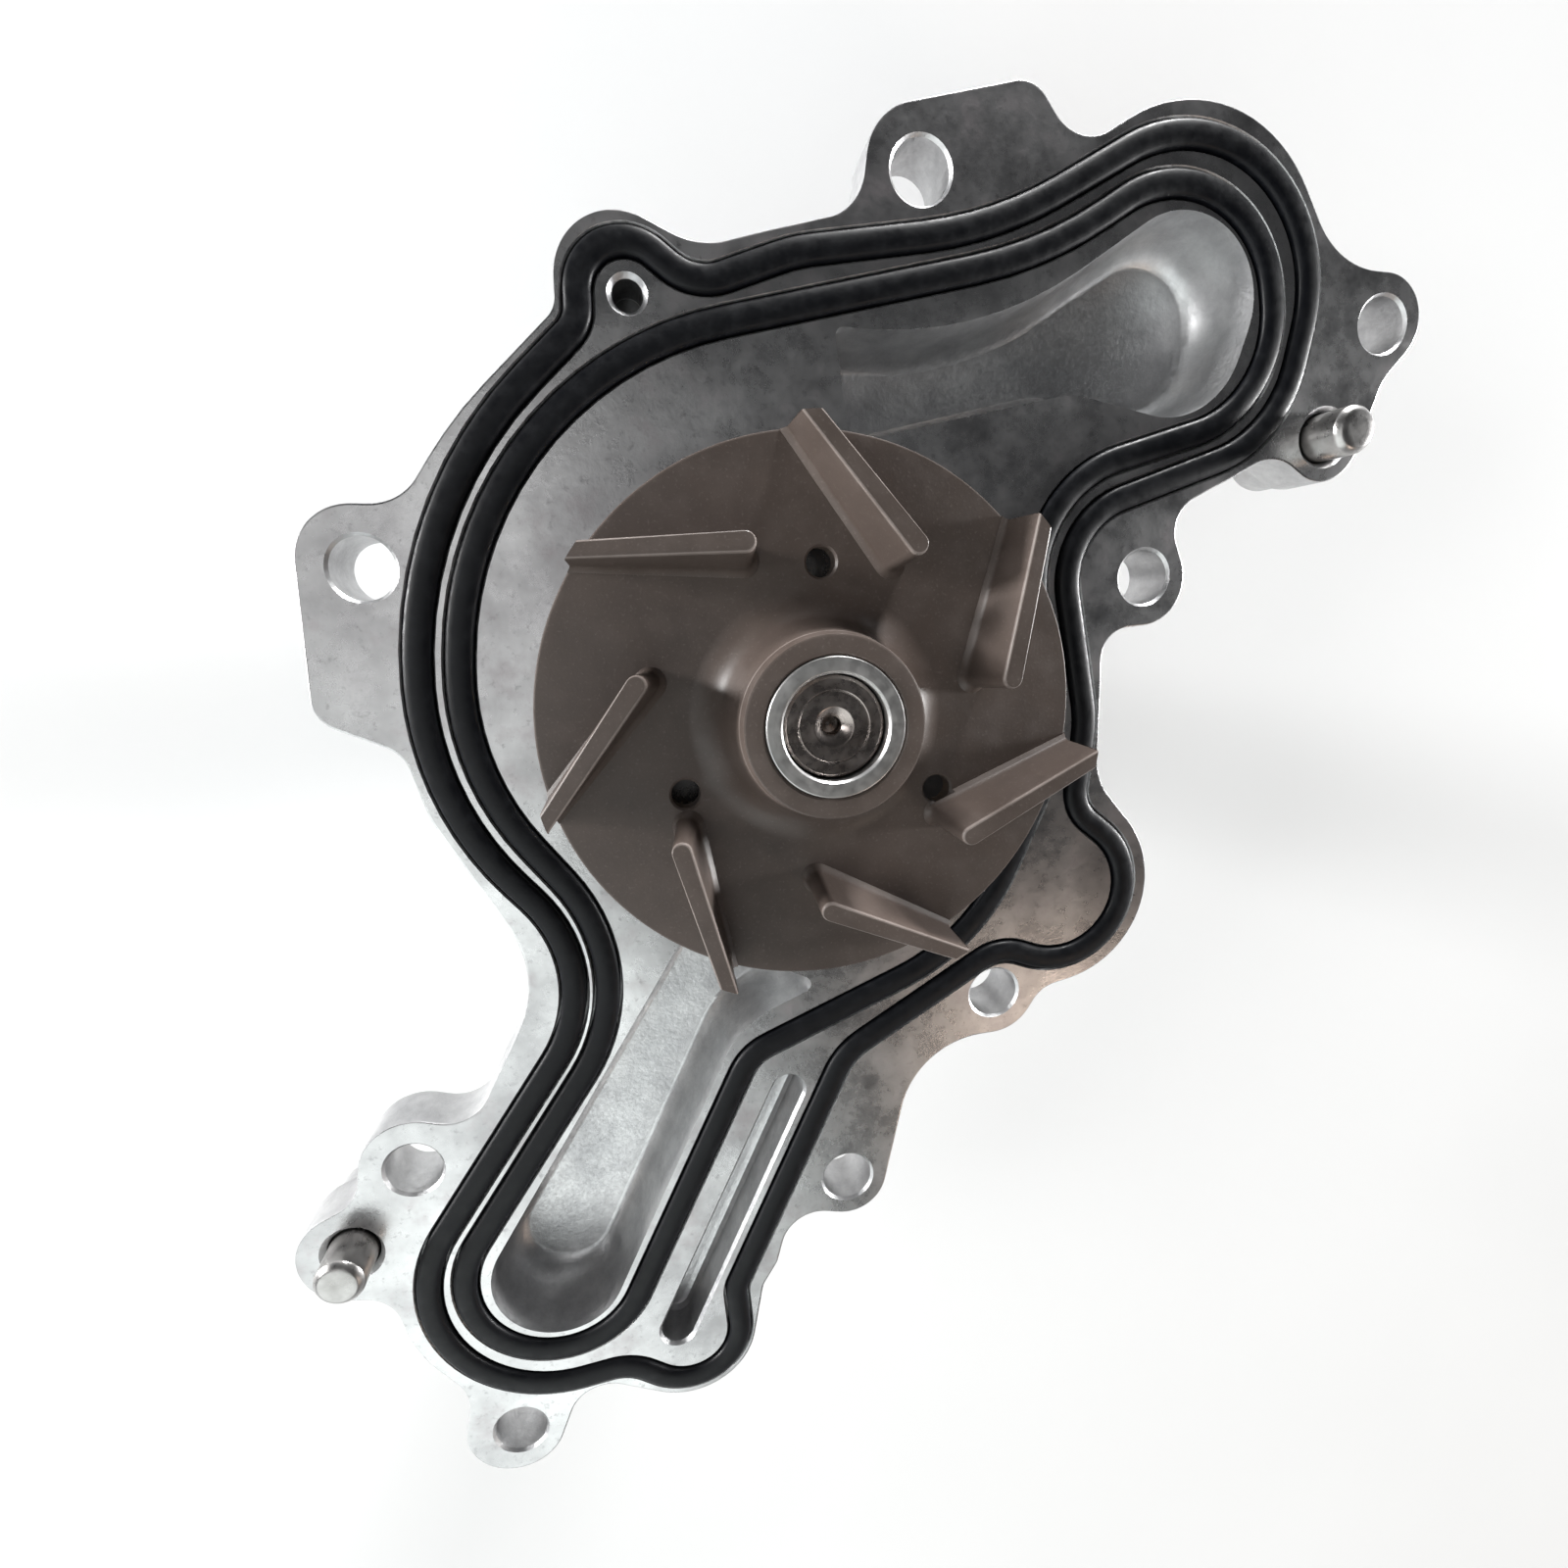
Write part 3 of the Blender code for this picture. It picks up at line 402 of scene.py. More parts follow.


# %% [markdown]
# ## Cast aluminium with milled faces
# The body is die cast, which leaves a fine grained grey skin.  Only the faces that seal are milled, so
# they are brighter, smoother and stained by handling, with pinkish patches that are part stain and part
# painted reflection.  A mask from height and slope tells them apart, and two more paint shade: a dark
# ring on the face under the wheel and a dark fill in the small drain hole.

# %% Cast aluminium
def cast_aluminium():
    finish = Finish("cast_and_milled_aluminium", 1.0)
    tree = finish.tree
    split = tree.nodes.new("ShaderNodeSeparateXYZ")
    tree.links.new(finish.place.outputs["Object"], split.inputs["Vector"])
    tilt = tree.nodes.new("ShaderNodeSeparateXYZ")
    tree.links.new(finish.place.outputs["Normal"], tilt.inputs["Vector"])
    high = finish.math("GREATER_THAN", split.outputs["Z"], (FACE_Z - 0.12) * MM)
    level = finish.math("GREATER_THAN", tilt.outputs["Z"], 0.92)
    milled = finish.math("MULTIPLY", high, level)

    broad = finish.noise(38.0, 5.0, 0.62)
    patch = finish.noise(115.0, 6.0, 0.7)
    grain = finish.noise(1500.0, 3.0, 0.6)
    pits = finish.noise(620.0, 4.0, 0.7)
    cutter = finish.rings(95.0, 1.2)

    cast_tone = finish.mix(finish.ramp(patch, 0.0, 1.0), (0.44, 0.44, 0.45), (0.74, 0.74, 0.74))
    broad_share = finish.ramp(broad, 0.0, 1.0, 0.36, 0.66)
    milled_tone = finish.mix(broad_share, (0.38, 0.375, 0.38), (0.68, 0.68, 0.68))
    speckle = finish.ramp(pits, 0.0, 0.62, 0.57, 0.72)
    milled_tone = finish.mix(speckle, milled_tone, (0.26, 0.255, 0.26))
    # Pinkish patches: partly handling stain, partly painted reflection.
    stain_and_reflection = finish.ramp(patch, 0.0, 0.55, 0.55, 0.74)
    milled_tone = finish.mix(stain_and_reflection, milled_tone, (0.40, 0.345, 0.36))
    colour = finish.mix(milled, cast_tone, milled_tone)
    # Painted shade: the face under the wheel is darkened where the disc would shade it.
    painted_shade_under_wheel = finish.near_axis(0.0, 0.0, 29.0, 36.0, 0.85)
    colour = finish.mix(painted_shade_under_wheel, colour, (0.07, 0.066, 0.064))
    # Painted shade: the inside of the drain hole is coloured near black.
    painted_shade_in_drain = finish.near_axis(*DRAIN_HOLE, DRAIN_R - 0.1, DRAIN_R + 0.1, 0.9)
    colour = finish.mix(painted_shade_in_drain, colour, (0.05, 0.05, 0.05))

    cast_rough = finish.ramp(grain, 0.34, 0.52)
    milled_rough = finish.ramp(patch, 0.20, 0.38)
    finish.bump(grain, 0.05, finish.blend(milled, 0.85, 0.22))
    finish.bump(pits, 0.10, finish.blend(milled, 0.75, 0.16))
    finish.bump(cutter, 0.004, finish.blend(milled, 0.0, 0.5))
    return finish.done(colour, finish.blend(milled, cast_rough, milled_rough))


cast = cast_aluminium()
print("made", cast.name)

# %% [markdown]
# ## Rubber and plastics
# Moulded rubber is nearly black with a soft sheen and a little dust.  The impeller is a brown
# glass-filled moulding, matt, with a painted highlight line round the tops of the vanes.

# %% Rubber and plastics
def rubber(name):
    finish = Finish(name, 0.0)
    dust = finish.noise(420.0, 5.0, 0.7)
    grain = finish.noise(2400.0, 2.0)
    dusty = finish.ramp(dust, 0.0, 1.0, 0.5, 0.8)
    colour = finish.mix(dusty, (0.0018, 0.0022, 0.0035), (0.006, 0.0068, 0.009))
    finish.bump(grain, 0.02, 0.5)
    finish.shader.inputs["Specular IOR Level"].default_value = 0.22
    return finish.done(colour, finish.ramp(dust, 0.34, 0.58))


def plastic(name, dark, light):
    finish = Finish(name, 0.0)
    tone = finish.noise(300.0, 4.0)
    grain = finish.noise(1800.0, 2.0)
    finish.bump(grain, 0.02, 0.6)
    return finish.done(finish.mix(tone, dark, light), finish.ramp(grain, 0.42, 0.62))


def impeller_moulding():
    """Brown filled resin: flow streaks, pale glass flecks and a fine painted highlight line round the vane
    tops.
    """
    finish = Finish("impeller_moulding_detail", 0.0)
    tree = finish.tree
    split = tree.nodes.new("ShaderNodeSeparateXYZ")
    tree.links.new(finish.place.outputs["Object"], split.inputs["Vector"])
    cloud = finish.noise(70.0, 6.0, 0.65)
    flow = finish.noise(190.0, 5.0, 0.6, (1.0, 1.0, 0.35))
    fleck = finish.noise(2200.0, 2.0, 0.5)
    base = finish.mix(finish.ramp(cloud, 0.0, 1.0), (0.062, 0.047, 0.040), (0.088, 0.067, 0.057))
    base = finish.mix(finish.ramp(flow, 0.0, 0.35, 0.5, 0.75), base, (0.120, 0.095, 0.084))
    base = finish.mix(finish.ramp(fleck, 0.0, 0.4, 0.6, 0.75), base, (0.155, 0.128, 0.115))
    # Painted highlight: a pale line in the band just below the vane tops, where the rounded edges catch
    # light.
    above = finish.math("GREATER_THAN", split.outputs["Z"], (VANE_TOP - 0.42) * MM)
    below = finish.math("LESS_THAN", split.outputs["Z"], (VANE_TOP - 0.03) * MM)
    rim = finish.math("MULTIPLY", above, below)
    painted_edge_highlight = finish.math("MULTIPLY", rim, finish.ramp(flow, 0.35, 0.9))
    colour = finish.mix(painted_edge_highlight, base, (0.23, 0.195, 0.178))
    finish.bump(flow, 0.08, 0.35)
    finish.bump(fleck, 0.02, 0.6)
    return finish.done(colour, finish.ramp(flow, 0.36, 0.52))


# %% [markdown]
# ## Turned metals
# A lathe leaves fine rings round the axis.  They are bump only, and the tone drifts slowly across them.

# %% Turned metals
def turned_metal(name, dark, light, rough=(0.16, 0.34), ring_scale=900.0, metallic=1.0):
    finish = Finish(name, metallic)
    tone = finish.noise(160.0, 5.0, 0.6)
    fine = finish.noise(520.0, 4.0)
    marks = finish.rings(ring_scale, 0.25)
    finish.bump(marks, 0.006, 0.4)
    finish.bump(fine, 0.006, 0.12)
    return finish.done(finish.mix(finish.ramp(tone, 0.0, 1.0), dark, light), finish.ramp(fine, *rough))


black_rubber = rubber("seal_rubber_detail")
moulding = impeller_moulding()
steel = turned_metal("ground_steel_detail", (0.56, 0.55, 0.54), (0.80, 0.79, 0.77))
insert_steel = turned_metal("insert_steel_detail", (0.44, 0.44, 0.43), (0.64, 0.63, 0.62), (0.30, 0.44),
                            480.0)
pin_steel = turned_metal("pin_steel_detail", (0.30, 0.29, 0.28), (0.54, 0.53, 0.52), (0.24, 0.4))
shaft_steel = turned_metal("shaft_steel_detail", (0.20, 0.17, 0.155), (0.42, 0.38, 0.36), (0.2, 0.38), 480.0)
bearing_steel = turned_metal("bearing_steel_detail", (0.36, 0.36, 0.37), (0.58, 0.58, 0.58), (0.22, 0.42))
brass = turned_metal("seal_brass_detail", (0.58, 0.38, 0.15), (0.80, 0.58, 0.28))
ceramic = turned_metal("seal_ceramic_detail", (0.78, 0.75, 0.68), (0.90, 0.88, 0.82), (0.2, 0.35), 900.0, 0.0)
carbon = turned_metal("seal_carbon_detail", (0.020, 0.020, 0.022), (0.055, 0.055, 0.058), (0.3, 0.5),
                      900.0, 0.0)
cage_plastic = plastic("cage_plastic_detail", (0.035, 0.03, 0.027), (0.09, 0.078, 0.07))

# %% [markdown]
# ## The cast body
# A die casting has rounded edges where the die parts and sharp ones where a cutter passed.  The flange
# is a stack of belts with a drafted, rounded back; pockets, grooves and bores are then cut from it.

# %% Cast body
def flange_plate():
    steps = arc_steps(FLANGE)
    back = FACE_Z - FLANGE_THICK
    levels = [(-0.7, back), (-0.35, back + 0.12), (-0.1, back + 0.45), (0.0, back + 1.0),
              (0.0, FACE_Z - 0.45), (-0.12, FACE_Z - 0.13), (-0.42, FACE_Z)]
    return stack("cast_pump_body", [(belt_points(FLANGE, steps, move), z) for move, z in levels])


def pocket_bulge(circles):
    steps = arc_steps(circles)
    floor = FACE_Z - POCKET_DEPTH - POCKET_WALL
    levels = [(-2.6, floor), (-1.7, floor + 0.3), (-0.9, floor + 1.0), (-0.4, floor + 2.5),
              (0.0, FACE_Z - 9.6), (0.6, FACE_Z - 9.1), (0.6, INSIDE_FLANGE_Z)]
    return stack("bulge", [(belt_points(circles, steps, POCKET_WALL + move), z) for move, z in levels])


def bearing_housing():
    profile = [(31.0, INSIDE_FLANGE_Z), (31.0, FACE_Z - 10.2), (30.2, FACE_Z - 12.0), (28.0, FACE_Z - 15.0),
               (25.2, FACE_Z - 17.4), (23.3, FACE_Z - 19.4), (22.0, FACE_Z - 21.8), (21.1, FACE_Z - 25.0),
               (20.2, 19.0), (20.0, 17.2), (19.2, 16.0)]
    return turned_solid("housing", profile, 96)


def housing_rib(angle, reach):
    """Triangular web from the housing out towards a bolt boss, with rounded long edges."""
    corners = [(17.0, FACE_Z - 7.0), (reach, FACE_Z - 7.0), (reach, FACE_Z - 10.0), (17.0, FACE_Z - 38.0)]
    shape = bmesh.new()
    flanks = []
    for half, inset in ((-2.2, 0.9), (-1.5, 0.2), (-0.7, 0.0), (0.7, 0.0), (1.5, 0.2), (2.2, 0.9)):
        across = polar(half, angle + 90.0)
        flank = []
        for index, (radius, z) in enumerate(corners):
            x, y = polar(radius, angle)
            lift = inset if index >= 2 else 0.0
            flank.append(shape.verts.new((x + across[0], y + across[1], z + lift)))
        flanks.append(flank)
    for left, right in zip(flanks, flanks[1:]):
        join_rings(shape, left, right)
    shape.faces.new(flanks[0])
    shape.faces.new(flanks[-1])
    return new_object("rib", shape)


def round_pad(centre, radius, low):
    profile = [(radius - 0.9, low), (radius - 0.25, low + 0.25), (radius, low + 0.9),
               (radius + 0.1, INSIDE_FLANGE_Z)]
    return turned_solid("pad", profile, 48, centre)


def body_additions():
    pieces = [pocket_bulge(UPPER_POCKET), pocket_bulge(LOWER_POCKET), bearing_housing()]
    pieces += [round_pad(centre, BOLT_PAD_R, BOLT_PAD_Z) for centre in BOLT_HOLES]
    pieces += [round_pad(centre, BOLT_PAD_R - 0.6, FACE_Z - 15.0) for centre in DOWELS.values()]
    for index in (0, 3, 6):
        x, y = BOLT_HOLES[index]
        pieces.append(housing_rib(math.degrees(math.atan2(y, x)), math.hypot(x, y) - 8.0))
    pieces += [housing_rib(angle, 52.0) for angle in (225.0, 128.0)]
    return pieces


# %% [markdown]
# The outlet pockets keep near-upright walls, round softly into the floor and meet the milled face at
# the sharp edge that the cutter leaves.  Each bolt hole has a small chamfer, which catches the light
# as a bright ring.

# %% Cuts in the body
def pocket_cutter(mouth, floor):
    steps = arc_steps(mouth)
    levels = [(0.0, 1.0), (0.0, -1.1), (0.12, -6.0), (0.22, -8.6), (0.40, -10.4), (0.62, -11.6),
              (0.82, -12.2), (1.0, -POCKET_DEPTH)]
    rings = []
    for share, level in levels:
        rings.append((belt_points(mixed(mouth, floor, share), steps), FACE_Z + level))
    return stack("pocket", rings)


def seal_groove(circles):
    steps = arc_steps(circles)
    half = SEAL_WIDTH / 2.0 + GAP
    section = [(half, -GROOVE_DEPTH - GAP), (half, -0.25), (half + 0.25, 0.0), (half + 1.0, 0.8),
               (-half - 1.0, 0.8), (-half - 0.25, 0.0), (-half, -0.25), (-half, -GROOVE_DEPTH - GAP)]
    rings = [(belt_points(circles, steps, across), FACE_Z + level) for across, level in section]
    return hoop("groove", rings)


def chamfered_hole(centre, radius, low, chamfer, segments=48):
    profile = [(radius, low), (radius, FACE_Z - chamfer), (radius + chamfer, FACE_Z),
               (radius + chamfer + 0.5, FACE_Z + 0.5)]
    return turned_solid("hole", profile, segments, centre)


def body_cuts():
    cuts = [seal_groove(OUTER_SEAL), seal_groove(INNER_SEAL),
            pocket_cutter(UPPER_POCKET, UPPER_FLOOR), pocket_cutter(LOWER_POCKET, LOWER_FLOOR)]
    steps = arc_steps(SLOT)
    slot_levels = [(-1.6, -SLOT_DEPTH), (-0.7, -7.7), (-0.1, -6.9), (0.0, -0.6), (0.5, 0.0), (1.2, 0.7)]
    cuts.append(stack("slot", [(belt_points(SLOT, steps, move), FACE_Z + z) for move, z in slot_levels]))
    bore = [(18.8, FACE_Z + 1.0), (18.8, FACE_Z), (18.3, FACE_Z - 0.5), (18.3, FACE_Z - 9.0),
            (9.6, FACE_Z - 9.0), (9.6, FACE_Z - 12.0), (13.9, FACE_Z - 12.0), (13.9, FACE_Z - 16.7),
            (BEARING_SEAT_R, FACE_Z - 16.7), (BEARING_SEAT_R, 15.0)]
    cuts.append(turned_solid("bore", bore, 96))
    cuts += [chamfered_hole(centre, BOLT_HOLE_R, BOLT_PAD_Z - 4.0, 0.45) for centre in BOLT_HOLES]
    cuts += [chamfered_hole(centre, DOWEL_R + GAP, DOWEL_LOW - GAP, 0.9) for centre in DOWELS.values()]
    cuts.append(chamfered_hole(DRAIN_HOLE, DRAIN_R, FACE_Z - DRAIN_DEPTH, 0.7, 32))
    return cuts


body = flange_plate()
combine(body, body_additions(), "UNION")
combine(body, body_cuts(), "DIFFERENCE")
finish_piece(body, cast, "pump_housing", "pump_body")

# %% [markdown]
# ## Face seals
# Two rubber cords lie in milled grooves.  Their crowns stand a little proud so that the engine's face
# squeezes them.  The section is a flat-footed strip with a round crown.

# %% Face seals
def face_seal(name, circles, node):
    steps = arc_steps(circles, 4.0)
    half = SEAL_WIDTH / 2.0
    section = [(half, -GROOVE_DEPTH)]
    for index in range(9):
        angle = math.pi * index / 8
        section.append((half * math.cos(angle), 0.05 + (SEAL_PROUD - 0.05) * math.sin(angle) ** 0.8))
    section.append((-half, -GROOVE_DEPTH))
    rings = [(belt_points(circles, steps, across), FACE_Z + level) for across, level in section]
    item = finish_piece(hoop(name, rings), black_rubber, "pump_housing", node, angle=60.0)


face_seal("outer_face_seal", OUTER_SEAL, "outer_seal")
face_seal("inner_face_seal", INNER_SEAL, "inner_seal")

# %% [markdown]
# ## Dowel pins
# Hardened pins with ground sides and chamfered, slightly domed ends find the engine's dowel holes.

# %% Dowel pins
for node, centre in DOWELS.items():
    profile = [(DOWEL_R - 0.9, DOWEL_LOW), (DOWEL_R, DOWEL_LOW + 0.9), (DOWEL_R, DOWEL_TOP - 1.1),
               (DOWEL_R - 0.12, DOWEL_TOP - 0.8), (DOWEL_R - 0.75, DOWEL_TOP - 0.2),
               (DOWEL_R - 1.1, DOWEL_TOP - 0.05), (DOWEL_R - 2.2, DOWEL_TOP)]
    pin = turned_solid(node + "_ground", profile, 64, centre)
    finish_piece(pin, pin_steel, "pump_housing", node)

# %% [markdown]
# ## Impeller
# The wheel is a disc and hub moulded in one, with seven straight blades swept back.  Each blade's inner
# end is raked, so its foot reaches further in than its top.

# %% Impeller
def vane(angle):
    outer = polar(VANE_TIP_REACH, VANE_TIP_ANGLE + angle)
    levels = [(25.4, 0.9, DISC_TOP - 1.0), (25.4, 0.9, DISC_TOP + 0.1), (25.6, 0.35, DISC_TOP + 0.6),
              (25.9, 0.1, DISC_TOP + 1.3), (27.3, -0.05, VANE_TOP - 0.35), (27.4, -0.15, VANE_TOP - 0.1),
              (27.5, -0.35, VANE_TOP)]
    rings = []
    for radius, move, z in levels:
        inner = polar(radius, VANE_ROOT_ANGLE + angle)
        blade = [(*inner, 1.5, LOBE), (*outer, 1.12, LOBE)]
        rings.append((belt_points(blade, [10, 6], move), z))
    return stack("vane", rings)


def impeller():
    profile = [(14.3, DISC_LOW), (IMPELLER_R - 0.4, DISC_LOW), (IMPELLER_R, DISC_LOW + 0.4),
               (IMPELLER_R, DISC_TOP - 0.4), (IMPELLER_R - 0.12, DISC_TOP - 0.12),
               (IMPELLER_R - 0.4, DISC_TOP), (19.6, DISC_TOP),
               (18.2, DISC_TOP + 0.25), (16.8, DISC_TOP + 0.75), (15.5, DISC_TOP + 1.7),
               (14.6, DISC_TOP + 2.9), (13.9, DISC_TOP + 5.2), (13.4, DISC_TOP + 8.0), (12.9, HUB_TOP - 0.5),
               (12.75, HUB_TOP - 0.15), (12.4, HUB_TOP), (10.25, HUB_TOP), (9.9, HUB_TOP - 0.35),
               (9.9, DISC_TOP + 0.2), (14.3, DISC_TOP + 0.2)]
    wheel = turned_ring("impeller_wheel", profile, 160)
    trim = turned_ring("trim", [(IMPELLER_R - 0.02, DISC_LOW), (60.0, DISC_LOW), (60.0, VANE_TOP + 5.0),
                                (IMPELLER_R - 0.02, VANE_TOP + 5.0)], 160)
    blades = [vane(360.0 * index / VANES) for index in range(VANES)]
    first = combine(blades[0], blades[1:], "UNION")
    combine(first, [trim], "DIFFERENCE")
    combine(wheel, [first], "UNION")
    holes = []
    for index in range(BALANCE_HOLES):
        centre = polar(BALANCE_CIRCLE_R, BALANCE_FIRST_ANGLE + 360.0 * index / BALANCE_HOLES)
        profile = [(BALANCE_HOLE_R, DISC_LOW - 1.0), (BALANCE_HOLE_R, DISC_TOP - 0.35), (2.55, DISC_TOP),
                   (3.0, DISC_TOP + 0.4)]
        holes.append(turned_solid("balance", profile, 40, centre))
    combine(wheel, holes, "DIFFERENCE")
    return wheel


wheel = finish_piece(impeller(), moulding, "rotor", "impeller")

# %% [markdown]
# ## Insert and shaft end
# A turned steel bush takes the press fit, because the moulding would creep.  The shaft stops just below
# its rim and shows a centre drill and the rings left by facing it.

# %% Insert and shaft
insert_profile = [(7.45, FACE_Z + 3.0), (9.8, FACE_Z + 3.0), (9.8, HUB_TOP), (9.7, HUB_TOP + 0.14),
                  (9.55, HUB_TOP + 0.2), (7.95, HUB_TOP + 0.2), (7.75, HUB_TOP + 0.14), (7.45, HUB_TOP - 0.2)]
insert = finish_piece(turned_ring("turned_insert", insert_profile), insert_steel, "rotor", "impeller_insert")

shaft_profile = [(7.2, 0.0), (7.7, 0.2), (8.0, 0.6), (8.0, 38.4), (7.5, 39.4), (7.5, 40.6), (8.0, 41.6),
                 (8.0, FACE_Z + 2.0), (7.3, FACE_Z + 2.6), (7.3, SHAFT_TOP - 0.8), (7.15, SHAFT_TOP - 0.35),
                 (6.7, SHAFT_TOP), (5.2, SHAFT_TOP - 0.02), (5.05, SHAFT_TOP - 0.12), (4.9, SHAFT_TOP - 0.02),
                 (2.9, SHAFT_TOP - 0.05), (2.7, SHAFT_TOP - 0.1), (1.35, SHAFT_TOP - 1.3),
                 (1.2, SHAFT_TOP - 3.4), (0.3, SHAFT_TOP - 4.0)]
spindle = finish_piece(turned_solid("bearing_shaft", shaft_profile, 96), shaft_steel, "rotor", "shaft")

# %% [markdown]
# ## Pulley hub
# A steel flange pressed on the shaft's other end takes the belt pulley on four screws.

# %% Pulley hub
hub_profile = [(8.3, 0.4), (8.7, 0.0), (30.2, 0.0), (30.8, 0.2), (31.0, 0.8), (31.0, 5.2), (30.8, 5.8),
               (30.2, 6.0), (18.6, 6.0), (17.2, 6.25), (15.8, 7.0), (15.0, 8.2), (14.6, 10.5), (14.2, 13.0),
               (13.9, 13.7), (13.4, 14.0), (8.7, 14.0), (8.3, 13.6)]
hub = turned_ring("pulley_flange", hub_profile)
hub_holes = []
for index in range(HUB_SCREWS):
    hole_profile = [(4.2, -0.3), (3.9, 0.0), (3.4, 0.5), (3.4, 5.5), (3.9, 6.0), (4.3, 6.4)]
    centre = polar(HUB_CIRCLE_R, HUB_FIRST_ANGLE + 360.0 * index / HUB_SCREWS)
    hub_holes.append(turned_solid("screw_hole", hole_profile, 40, centre))
combine(hub, hub_holes, "DIFFERENCE")
finish_piece(hub, bearing_steel, "rotor", "pulley_hub")

# %% [markdown]
# ## Spring and bellows
# The seal's spring and rubber bellows stand on the fixed cup and hold up the sliding face.  They can't
# follow the joint as rigid pieces; here each is a copy of its solid with a mesh of its own, fixed to the
# pump housing.

# %% Spring and bellows
def shortening_piece(node, material):
    """A copy of the solid with a mesh of its own, attached to the pump housing."""
    solid = frame["nodes"][node]
    item = bpy.data.objects.new(node + "_soft", solid.data.copy())
    item.matrix_world = solid.matrix_world.copy()
    bpy.context.scene.collection.objects.link(item)
    bpy.context.view_layer.update()
    finish_piece(item, material, "pump_housing", node, angle=40.0)
    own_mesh(item)


shortening_piece("seal_spring", steel)
shortening_piece("seal_bellows", black_rubber)

# %% [markdown]
# ## Hidden pieces
# The bearing and the rest of the shaft seal are inside, so their solids are shown as they are, with a
# finish for each material.

# %% Finishes for the inner solids
finish_of_slot = {"cast_aluminium": cast, "seal_rubber": black_rubber, "ground_steel": steel,
                  "bearing_steel": bearing_steel, "impeller_moulding": moulding, "seal_brass": brass,
                  "seal_carbon": carbon, "seal_ceramic": ceramic, "cage_plastic": cage_plastic}
for row in frame["record"]["subparts"]:
    solid = frame["nodes"][row["node"]]
    if not solid.hide_render:
        solid.data.materials.clear()
        solid.data.materials.append(finish_of_slot[row["material_slot"]])
        print(row["node"], "is finished as", row["material_slot"])

# %% [markdown]
# ## Studio
# A pale floor and soft lights.  The key light stands in front and to the left, so the milled face is
# silvery towards the lower outlet and falls off to grey towards the upper one.  Three distant lights
# whiten the floor.

# %% Floor and lights
def floor_finish():
    finish = Finish("studio_floor", 0.0)
    tone = finish.noise(6.0, 3.0)
    finish.bump(finish.noise(500.0, 2.0), 0.02, 0.2)
    return finish.done(finish.mix(tone, (0.86, 0.86, 0.86), (0.89, 0.89, 0.89)), finish.ramp(tone, 0.7, 0.8))


floor_mesh = bpy.data.meshes.new("studio_floor")
reach = 3.0
corners = [(-reach, -reach, 0.0), (reach, -reach, 0.0), (reach, reach, 0.0), (-reach, reach, 0.0)]
floor_mesh.from_pydata(corners, [], [(0, 1, 2, 3)])
floor = bpy.data.objects.new("studio_floor", floor_mesh)
floor.location.z = -0.0004
floor_mesh.materials.append(floor_finish())
bpy.context.scene.collection.objects.link(floor)


def soft_light(name, place, aim, size, power, tint=(1.0, 1.0, 1.0)):
    light = bpy.data.lights.new(name, "AREA")
    light.shape = "DISK"
    light.size = size
    light.energy = power
    light.color = tint
    lamp = bpy.data.objects.new(name, light)
    bpy.context.scene.collection.objects.link(lamp)
    lamp.location = place
    lamp.rotation_euler = (Vector(aim) - Vector(place)).to_track_quat("-Z", "Y").to_euler()


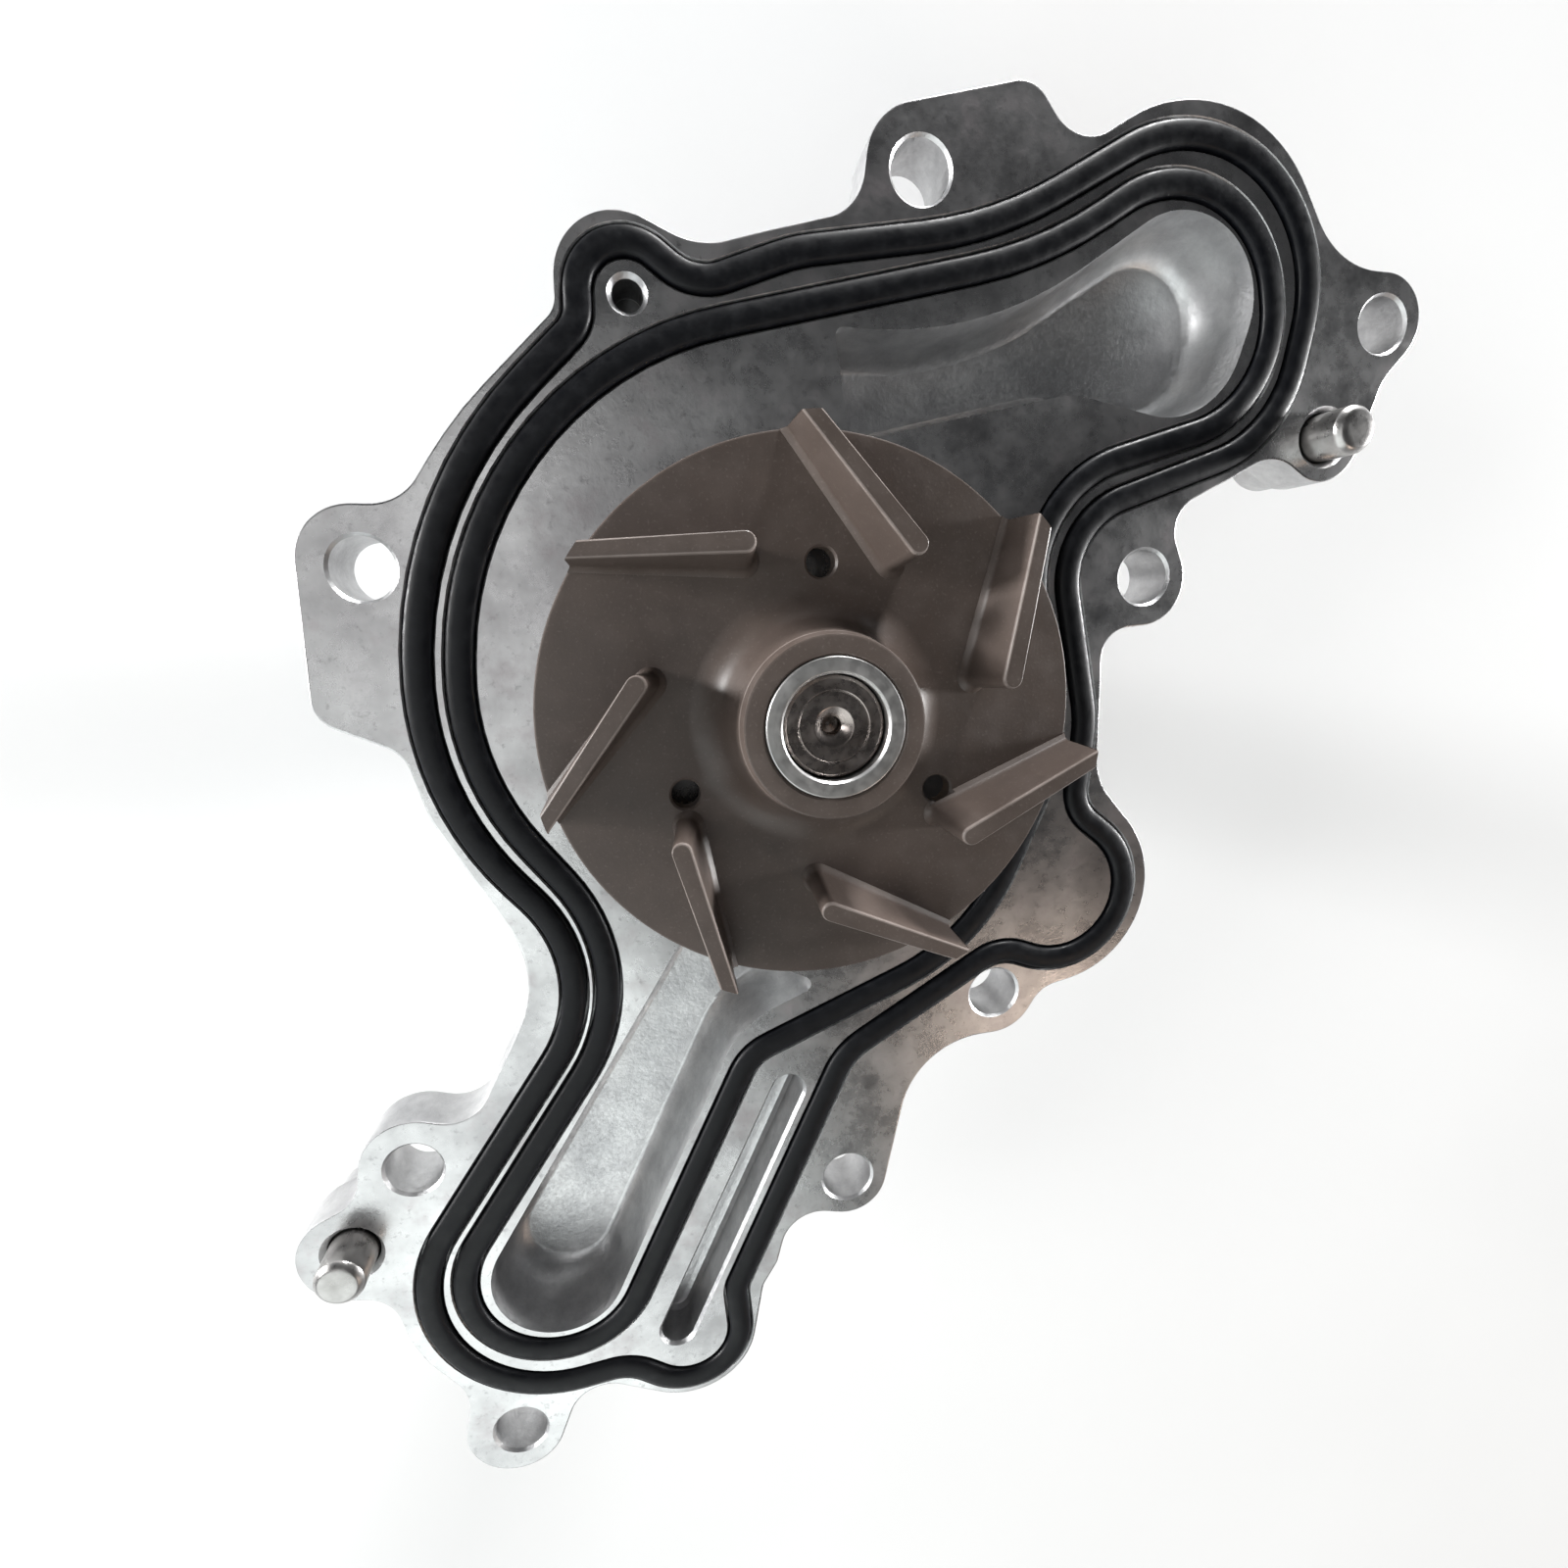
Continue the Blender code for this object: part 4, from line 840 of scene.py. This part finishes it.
soft_light("key_light", (-0.50, -0.85, 0.90), (0.0, 0.0, 0.06), 1.50, 9.5, (0.95, 1.0, 0.99))
soft_light("overhead_light", (-0.30, 0.05, 1.15), (0.0, 0.0, 0.06), 0.60, 0.9)
soft_light("left_light", (-1.15, 0.10, 0.62), (0.03, 0.03, 0.06), 0.50, 5.5)
soft_light("warm_right_light", (0.55, -0.60, 0.75), (0.02, -0.02, 0.06), 0.28, 0.8, (1.0, 0.80, 0.66))
for name, place in (("back", (0.9, 2.6, 0.30)), ("right", (2.8, 0.2, 0.30)), ("left", (-2.8, 0.6, 0.30))):
    soft_light("floor_light_" + name, place, (0.0, 0.0, -0.3), 0.50, 130.0)

# %% [markdown]
# ## Air
# Polished metal shows whatever surrounds it.  The air is pale near the horizon and dark overhead, so
# steep walls come out bright while the flat face stays grey.

# %% Air
world = bpy.data.worlds.new("studio_air")
world.use_nodes = True
air = world.node_tree
ray = air.nodes.new("ShaderNodeTexCoord")
split = air.nodes.new("ShaderNodeSeparateXYZ")
fade = air.nodes.new("ShaderNodeMapRange")
fade.interpolation_type = "SMOOTHSTEP"
fade.inputs["From Min"].default_value = 0.10
fade.inputs["From Max"].default_value = 0.48
fade.inputs["To Min"].default_value = 0.62
fade.inputs["To Max"].default_value = 0.06
air.links.new(ray.outputs["Generated"], split.inputs["Vector"])
air.links.new(split.outputs["Z"], fade.inputs["Value"])
air.links.new(fade.outputs["Result"], air.nodes["Background"].inputs["Strength"])
air.nodes["Background"].inputs["Color"].default_value = (0.95, 0.97, 1.0, 1.0)
bpy.context.scene.world = world

# %% [markdown]
# ## Camera
# The view is close and wide: the lens hangs over the disc's left side and leans about fifteen degrees.
# Its lean is stated as where the point straight below it falls in the view.

# %% Camera
CAMERA_PLACE = Vector((-25.65, 14.23, FACE_Z + 119.6)) * MM
LENS_FOCAL = 17.41
BELOW_RIGHT = -0.18984
BELOW_DOWN = -0.19062

down = Vector((BELOW_RIGHT, BELOW_DOWN, 1.0)).normalized()
across = (Vector((1.0, 0.0, 0.0)) - down * down.x).normalized()
along = down.cross(across)
turn = Matrix([(axis.x, -axis.y, -axis.z) for axis in (across, -along, -down)])
camera_data = bpy.data.cameras.new("camera")
camera_data.lens = LENS_FOCAL
camera_data.sensor_width = 36.0
camera_data.shift_x = -0.0012
camera_data.shift_y = -0.011
camera_data.clip_start = 0.005
camera = bpy.data.objects.new("camera", camera_data)
camera.matrix_world = Matrix.Translation(CAMERA_PLACE) @ turn.to_4x4()
bpy.context.scene.collection.objects.link(camera)
bpy.context.scene.camera = camera
bpy.context.scene.view_settings.view_transform = "Standard"
